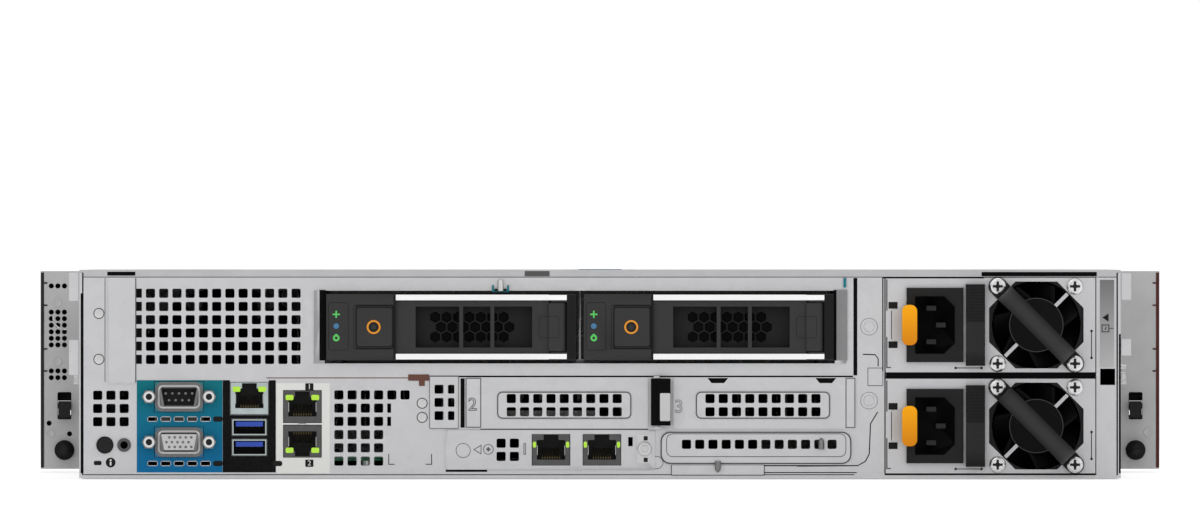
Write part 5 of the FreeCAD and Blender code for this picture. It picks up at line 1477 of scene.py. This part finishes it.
class SERVER_OT_wall_seams(bpy.types.Operator):
    """Draw the joints, gaps and shadow lines of the rear wall as dark strips and lines of painted shade"""
    bl_idname = "server.wall_seams"
    bl_label = "Rear joints and gaps"

    def execute(self, context):
        relief = settings("server_labels").relief / MM
        # Both finishes here are painted shade: near black for the gaps, dark grey for the lines.
        gap_shade, line = plain("pit_moulding"), plain("seam_ink")
        seams = Form()
        # Painted shade: black strips where the wall's gaps, slots and cut-outs show dark, and beside the rear
        # drive bay.
        for x0, x1, z0, z1 in GAP_SHADES:
            seams.block(x0, x1, WALL - relief, WALL, z0, z1)
        for path in BENT_GAP_SHADES:
            seams.mark(ribbon(path, 0.45), WALL, relief)
        frame_line(seams, 111.5, 118.0, 38.4, 46.0, 0.25, WALL, relief)
        frame_line(seams, *LOW_TAB, 0.3, TAB, relief)
        for x in (49.1, 94.1):
            seams.mark([(x - 4.3, 41.7), (x - 2.6, 39.6), (x + 2.6, 39.6), (x + 4.3, 41.7)], PLATE, relief)
        bay = box_mm("rear_drive_cage")[0].y
        for x0, x1 in ((-116.9, -114.2), (97.35, 98.6)):
            seams.block(x0, x1, bay - relief, bay, BAY_FOOT, BAY_TOP)
        for row in range(6):
            rise = SLOT_PITCH * row
            seams.block(-193.2, -190.9, WALL - relief, WALL, 47.6 + rise, 51.4 + rise)
        seams.piece("wall_gaps", "chassis", [gap_shade], "black_plastic")
        # Painted shade: a darker copy of the zinc on the bay's right flange.
        flange = Form()
        flange.block(98.7, 103.0, bay - relief, bay, BAY_FOOT, BAY_TOP)
        flange.piece("bay_shadow", "chassis", [finish(zinc_sheet, "flange_zinc", 0.42)], "galvanised_steel")

        # Painted shade: dark lines along the press lines, round the dimples and down the bend and edge of the
        # raised strip.
        lines = Form()
        for *spans, width, corner in PRESS_LINE_SHADES:
            frame_line(lines, *spans, width, PLATE, relief, corner)
        for x, z, radius, y in DIMPLE_SHADE_RINGS:
            lines.mark(circle(x, z, radius, 36), y, relief, [circle(x, z, radius - 0.2, 36)])
        for x0, x1, z0, z1 in ((-206.4, -206.1, 40.0, 83.4), (-193.6, -193.2, 39.8, 83.4)):
            lines.block(x0, x1, WALL - relief, WALL, z0, z1)
        lines.piece("wall_lines", "chassis", [line], "galvanised_steel")

        joint = Form()
        joint.block(-139.0, -79.5, WALL - relief, WALL, 41.55, 41.95)
        joint.block(-79.9, -71.2, TAB, WALL, 40.6, 43.2)
        joint.block(-75.4, -73.0, TAB, WALL, 38.4, 40.6)
        joint.piece("joint_hook", "chassis", [plain("joint_ink")], "galvanised_steel", edge=0.1)

        lip = Form()
        for x0, x1, z0, z1 in ((-205.3, -193.6, 84.4, 86.0), (159.0, 207.0, 84.1, 85.9)):
            lip.block(x0, x1, LID_LOW.y - relief, LID_LOW.y, z0, z1)
        lip.slot = 1
        lip.block(-31.4, -21.0, LID_LOW.y - relief, LID_LOW.y, 84.1, 86.3)
        lip.piece("lip_shadows", "lid", [gap_shade, line], "galvanised_steel")
        return {"FINISHED"}


class SERVER_OT_wall_details(bpy.types.Operator):
    """Fit the small tabs, dimples, pins and thumb screw of the slot wall"""
    bl_idname = "server.wall_details"
    bl_label = "Slot wall details"

    def execute(self, context):
        zinc, steel, black = finish(zinc_sheet), plain("plated_steel"), plain("black_moulding")
        card = CARD_LOW.y
        tab = Form()
        holes = [rectangle(x - half, x + half, z - 1.9, z + 1.9, 0.6)
                 for x, half in ((-67.0, 1.95), (-62.0, 1.35)) for z in (26.0, 31.5, 37.0)]
        tab.pane(rectangle(*SIDE_TAB), holes, PLATE, WALL)
        tab.pane(rectangle(*LOW_TAB, 0.6), [], TAB, WALL)
        tab.piece("wall_tabs", "chassis", [zinc], "galvanised_steel")
        side = Form()
        for way, spans in ((-1, ((73.8, 85.6), (43.0, 57.6))), (1, ((74.2, 85.4), (51.0, 58.0)))):
            for low, high in spans:
                side.block(way * 217.05, way * 221.3, WALL + 0.3, WALL + 1.8, low, high)
        side.piece("side_tabs", "chassis", [zinc], "galvanised_steel", edge=0.3)

        dimples = Form()
        for z in (63.1, 32.3):
            dimples.turned((112.1, BAY_LOW.y, z), [(3.5, 0), (3.4, -0.3), (2.9, -0.45), (2.3, -0.3),
                                                   (2.1, -0.05), (0.4, -0.02)])
        for x, z, radius, y in ((-57.0, 11.5, 2.9, card), (23.7, 6.5, 2.5, WALL)):
            dimples.dome(x, z, y, radius, ((1.0, 0), (0.97, -0.18), (0.8, -0.3), (0.3, -0.34)))
        dimples.piece("wall_dimples", "chassis", [zinc], "galvanised_steel")

        pins = Form()
        for x, z, way in ((92.2, 14.2, 1), (49.1, 4.9, -1)):
            pins.turned((x, WALL - 2.1, z), [(1.25, -2.2 * way), (1.25, 0.8 * way), (1.0, 1.7 * way),
                                             (0.55, 2.3 * way), (0.1, 2.5 * way)], axis=2)
        pins.piece("key_pins", "chassis", [plain("post_steel")], "hardware_steel")

        screw = Form()
        screw.turned((18.6, card, 12.2), [(3.0, 0), (3.0, -1.8), (2.7, -2.2), (1.5, -2.3), (1.4, -1.6)],
                     steps=40)
        washer = card - 0.3
        screw.block(15.4, 20.4, washer, card, 6.2, 18.2)
        screw.slot = 1
        for height in (7.6, 16.6):
            screw.block(18.2, 19.9, card - 0.36, washer, height - 0.9, height + 0.9)
        screw.piece("thumb_screw", "chassis", [steel, black], "hardware_steel", edge=0.08)

        latch = "slot_latch"
        lug = Form()
        lug.mark(rectangle(25.0, 29.3, 23.8, 35.4, 0.5), box_mm(latch)[0].y, 0.35)
        lug.piece("latch_tab", body_of(latch), [plain("pale_moulding")], "black_plastic", edge=0.12)

        stud = Form()
        stud.turned((-41.4, WALL - 1.0, 79.4), [(1.3, -1.4), (1.3, 2.6), (1.0, 3.2), (0.3, 3.3)], axis=2)
        stud.piece("bay_stud", "chassis", [steel], "hardware_steel")
        base = Form()
        near, far = WALL - 1.3, WALL - 0.9
        base.pane([(-45.0, 77.6), (-37.9, 77.6), (-37.9, 80.4), (-38.7, 80.4), (-38.7, 78.7), (-44.2, 78.7),
                   (-44.2, 80.4), (-45.0, 80.4)], [], near, far)
        base.block(101.4, 102.6, near, far, 79.4, 83.4)
        base.slot = 1
        base.pane(rectangle(-44.0, -38.9, 77.9, 78.9, 0.3), [], WALL - 1.5, near)
        base.piece("touch_points", "chassis", [plain("touch_moulding"), black], "black_plastic")
        return {"FINISHED"}


# ---- Ears
# Dark strips of painted shade that close the view through an ear's slot: inner side, outer side, depth, foot,
# top.
# The first lies at the depth of the rack latch's pivot, where the latch swings clear of it.
EAR_SHADES = ((219.5, 239.0, 6.8, 30.15, 36.0), (225.6, 235.8, 0.0, 20.6, 23.0),
              (226.6, 227.9, 0.0, 24.0, 30.3), (233.5, 234.8, 0.0, 24.0, 30.3))


class SERVER_OT_ears(bpy.types.Operator):
    """Finish the ear covers and fit the rims, lamps and power mark"""
    bl_idname = "server.ears"
    bl_label = "Ears and front panel"

    def execute(self, context):
        cover = plain("ear_moulding")
        divide("ear_covers", [("left", lambda low, high: high.x < 0, cover, "ear_plastic"),
                              ("right", anything, cover, "ear_plastic")])
        dress(plain("black_moulding"), "power_button")
        sheet = EARS_LOW.y - 2.0
        for name, way, material in (("left", -1, cover), ("right", 1, plain("edge_moulding"))):
            strip = Form()
            strip.block(way * 239.5, way * 240.85, sheet - 0.25, sheet, EARS_LOW.z + 0.6, EARS_HIGH.z - 0.6)
            for z in (80.9, 71.3, 52.5, 43.0):
                strip.block(way * 238.0, way * 239.5, sheet - 0.15, sheet, z - 0.35, z + 0.35)
            strip.piece(f"ear_rim_{name}", "chassis", [material], "ear_plastic", edge=0.1)
        rings = Form()
        for x, z, radius in ((-233.9, 72.5, 2.1), (-233.9, 47.1, 2.1), (-236.8, 15.9, 1.8),
                             (236.4, 16.6, 2.3)):
            rings.dome(x, z, sheet, radius, ((1.0, 0), (0.95, -0.16), (0.82, -0.2), (0.7, -0.1),
                                             (0.3, -0.06)))
        rings.piece("ear_dimples", "chassis", [finish(ear_paint)], "ear_paint")
        shades = Form()
        for way in (-1, 1):
            for x0, x1, depth, z0, z1 in EAR_SHADES:
                shades.block(way * x0, way * x1, EARS_LOW.y + depth, EARS_LOW.y + depth + 0.4, z0, z1)
        shades.piece("ear_slot_shades", "chassis", [cover], "ear_plastic")

        front = EARS_HIGH.y
        low, high = box_mm("power_button")
        x, z = centre(low, high)
        mark = Form()
        arc = [math.radians(120 + 300 * step / 20) for step in range(21)]
        outer = [(x + 2.3 * math.cos(angle), z + 2.3 * math.sin(angle)) for angle in arc]
        inner = [(x + 1.75 * math.cos(angle), z + 1.75 * math.sin(angle)) for angle in reversed(arc)]
        for outline in (outer + inner, rectangle(x - 0.28, x + 0.28, z + 0.6, z + 2.7)):
            mark.pane(outline, [], high.y, high.y + 0.08)
        mark.piece("power_mark", body_of("power_button"), [plain("power_lamp")], "black_plastic")
        status = Form()
        for number, height in enumerate((55.0, 50.5, 46.0)):
            status.slot = number % 2
            status.turned((x, front, height), [(0.9, 0), (0.9, 0.12), (0.5, 0.3), (0.1, 0.33)])
        status.piece("status_lamps", "chassis", [plain("status_green"), plain("status_blue")], "ear_plastic")
        ribs = Form()
        for way in (-1, 1):
            for number in range(6):
                middle = 38.0 + number * 1.3
                ribs.block(way * 222.0, way * 238.5, front, front + 0.2, middle - 0.3, middle + 0.3)
        ribs.piece("ear_ribs", "chassis", [cover], "ear_plastic", edge=0.1)
        return {"FINISHED"}


# ---- Lid
class SERVER_OT_lid(bpy.types.Operator):
    """Fit the thumb ribs of the latch and the arrows and press lines of the lid"""
    bl_idname = "server.lid"
    bl_label = "Lid details"

    def execute(self, context):
        low, high = box_mm("cover_latch")
        top = LID_HIGH.z
        pad = Form()
        for number in range(7):
            y = low.y + 6.0 + number * 2.2
            pad.block(-9.0, 9.0, y - 0.55, y + 0.55, high.z, high.z + 0.25)
        pad.piece("latch_ribs", body_of("cover_latch"), [plain("touch_moulding")], "black_plastic",
                  edge=0.1)
        arrows = Form()
        arrow = ((-2, 0), (2, 0), (2, -20), (5, -20), (0, -28), (-5, -20), (-2, -20))
        for x in (-60.0, 60.0):
            arrows.skin([(x + dx, high.y + dy, top + 0.05) for dx, dy in arrow], [tuple(range(7))])
        arrows.piece("lid_arrows", "lid", [plain("dark_ink")], "galvanised_steel")
        lines = Form()
        for way in (-1, 1):
            lines.block(way * 150.0, way * 196.0, LID_LOW.y + 60.0, LID_LOW.y + 60.8, top - 0.4, top + 0.12)
        lines.piece("lid_press_lines", "lid", [finish(zinc_sheet)], "galvanised_steel", edge=0.1)
        return {"FINISHED"}


# ---- Stage
SENSOR = (72.0, 15.18)      # width and height of the camera's sensor, in millimetres
CAMERA_HEIGHT = 0.0938      # above the floor, in metres
FAR_CLIP = 60.0             # end of the camera's view, in metres
FLOOR_GLOW = 0.25
FLOOR_REACH = 15.0          # of the floor towards the camera, in metres
COVE_HALF_WIDTH = 12.0
COVE_START, COVE_BEND = 6.0, 0.4    # from the part to the bend of the backdrop, and the bend's radius
FLOOR_GAP = 0.0005          # between the floor and the foot of the part


def stage_surface(name, colour):
    """Matt floor with a faint unevenness and a little light of its own."""
    shade = Shade(name)
    shade.put(shade.surface.inputs["Emission Color"], grey(1.0))
    shade.put(shade.surface.inputs["Emission Strength"], FLOOR_GLOW)
    cloud = shade.noise(0.6, detail=2.0)
    shade.paint(shade.mix(cloud * 0.2, colour, darker(colour, 0.97)))
    shade.polish(0.8 + cloud * 0.1)
    return shade.material


def lamp_panel(name, place, aim, size, power):
    """Soft rectangular light, in metres and watts."""
    light = bpy.data.lights.new(name, "AREA")
    light.shape = "RECTANGLE"
    light.size, light.size_y = size
    light.energy = power
    holder = bpy.data.objects.new(name, light)
    holder.location = place
    holder.rotation_euler = (Vector(aim) - Vector(place)).to_track_quat("-Z", "Y").to_euler()
    bpy.context.scene.collection.objects.link(holder)


class SERVER_OT_stage(bpy.types.Operator):
    """Set up the floor, the lights, the sky and the camera"""
    bl_idname = "server.stage"
    bl_label = "Floor, light and camera"

    def execute(self, context):
        look = settings("server_stage")
        scene = context.scene
        scene.view_settings.view_transform = "Standard"
        self.cove(look)
        wall = WALL * MM
        lamp_panel("key_panel", (-1.4, wall - 2.6, 1.9), (0.0, 0.0, 0.04), (2.2, 1.6), 11.0)
        lamp_panel("fill_panel", (1.7, wall - 2.2, 1.2), (0.0, 0.0, 0.04), (2.0, 1.6), 6.0)
        lamp_panel("top_panel", (0.0, 0.3, 2.4), (0.0, 0.0, 0.0), (2.4, 2.0), 12.0)
        lamp_panel("back_panel", (0.4, 2.2, 1.6), (0.0, 0.2, 0.1), (2.0, 1.2), 8.0)
        sky = bpy.data.worlds.new("server_sky")
        sky.use_nodes = True
        light = sky.node_tree.nodes["Background"].inputs
        light["Color"].default_value = (*grey(1.0), 1.0)
        light["Strength"].default_value = look.sky
        scene.world = sky
        camera = bpy.data.cameras.new("rear_camera")
        camera.lens = look.focal
        camera.sensor_fit = "VERTICAL"
        camera.sensor_width, camera.sensor_height = SENSOR
        camera.clip_end = FAR_CLIP
        holder = bpy.data.objects.new("rear_camera", camera)
        holder.location = (0.0, wall - look.distance, CAMERA_HEIGHT)
        holder.rotation_euler = (math.radians(90), 0.0, 0.0)
        scene.collection.objects.link(holder)
        scene.camera = holder
        return {"FINISHED"}

    def cove(self, look):
        """Floor that curves up into a backdrop."""
        profile = [(-FLOOR_REACH, 0.0)]
        profile += [(COVE_START + COVE_BEND * math.sin(angle), COVE_BEND - COVE_BEND * math.cos(angle))
                    for angle in [math.radians(90 * step / 12) for step in range(13)]]
        mesh = bpy.data.meshes.new("cove")
        points = [(x, y, z - FLOOR_GAP) for y, z in profile for x in (-COVE_HALF_WIDTH, COVE_HALF_WIDTH)]
        faces = [(2 * row, 2 * row + 1, 2 * row + 3, 2 * row + 2) for row in range(len(profile) - 1)]
        mesh.from_pydata(points, [], faces)
        mesh.polygons.foreach_set("use_smooth", [True] * len(faces))
        mesh.materials.append(stage_surface("floor", tuple(look.floor)))
        cove = bpy.data.objects.new("cove", mesh)
        bpy.context.scene.collection.objects.link(cove)


# ---- Add-on
STEPS = (SERVER_OT_chassis, SERVER_OT_wall_labels, SERVER_OT_sockets, SERVER_OT_fasteners, SERVER_OT_carriers,
         SERVER_OT_supplies, SERVER_OT_supply_label, SERVER_OT_wall_seams, SERVER_OT_wall_details,
         SERVER_OT_ears, SERVER_OT_lid, SERVER_OT_stage)
GROUPS = (("server_sheet", SheetSettings), ("server_plastic", PlasticSettings),
          ("server_labels", LabelSettings), ("server_lamps", LampSettings),
          ("server_carriers", CarrierSettings), ("server_stage", StageSettings))


class SERVER_PT_looks(bpy.types.Panel):
    """Lists the settings and the steps"""
    bl_idname = "SERVER_PT_looks"
    bl_label = "Rack server"
    bl_space_type = "VIEW_3D"
    bl_region_type = "UI"
    bl_category = "Rack server"

    def draw(self, context):
        for name, group in GROUPS:
            values = getattr(context.scene, name)
            column = self.layout.box().column(align=True)
            for field in group.__annotations__:
                column.prop(values, field)
        for step in STEPS:
            self.layout.operator(step.bl_idname)


def register():
    for kind in [group for _, group in GROUPS] + list(STEPS) + [SERVER_PT_looks]:
        bpy.utils.register_class(kind)
    for name, group in GROUPS:
        setattr(bpy.types.Scene, name, bpy.props.PointerProperty(type=group))


def unregister():
    for name, _ in GROUPS:
        delattr(bpy.types.Scene, name)
    for kind in [SERVER_PT_looks] + list(reversed(STEPS)) + [group for _, group in reversed(GROUPS)]:
        bpy.utils.unregister_class(kind)


def main():
    register()
    for step in STEPS:
        family, name = step.bl_idname.split(".")
        getattr(getattr(bpy.ops, family), name)()


if __name__ == "__main__":
    main()
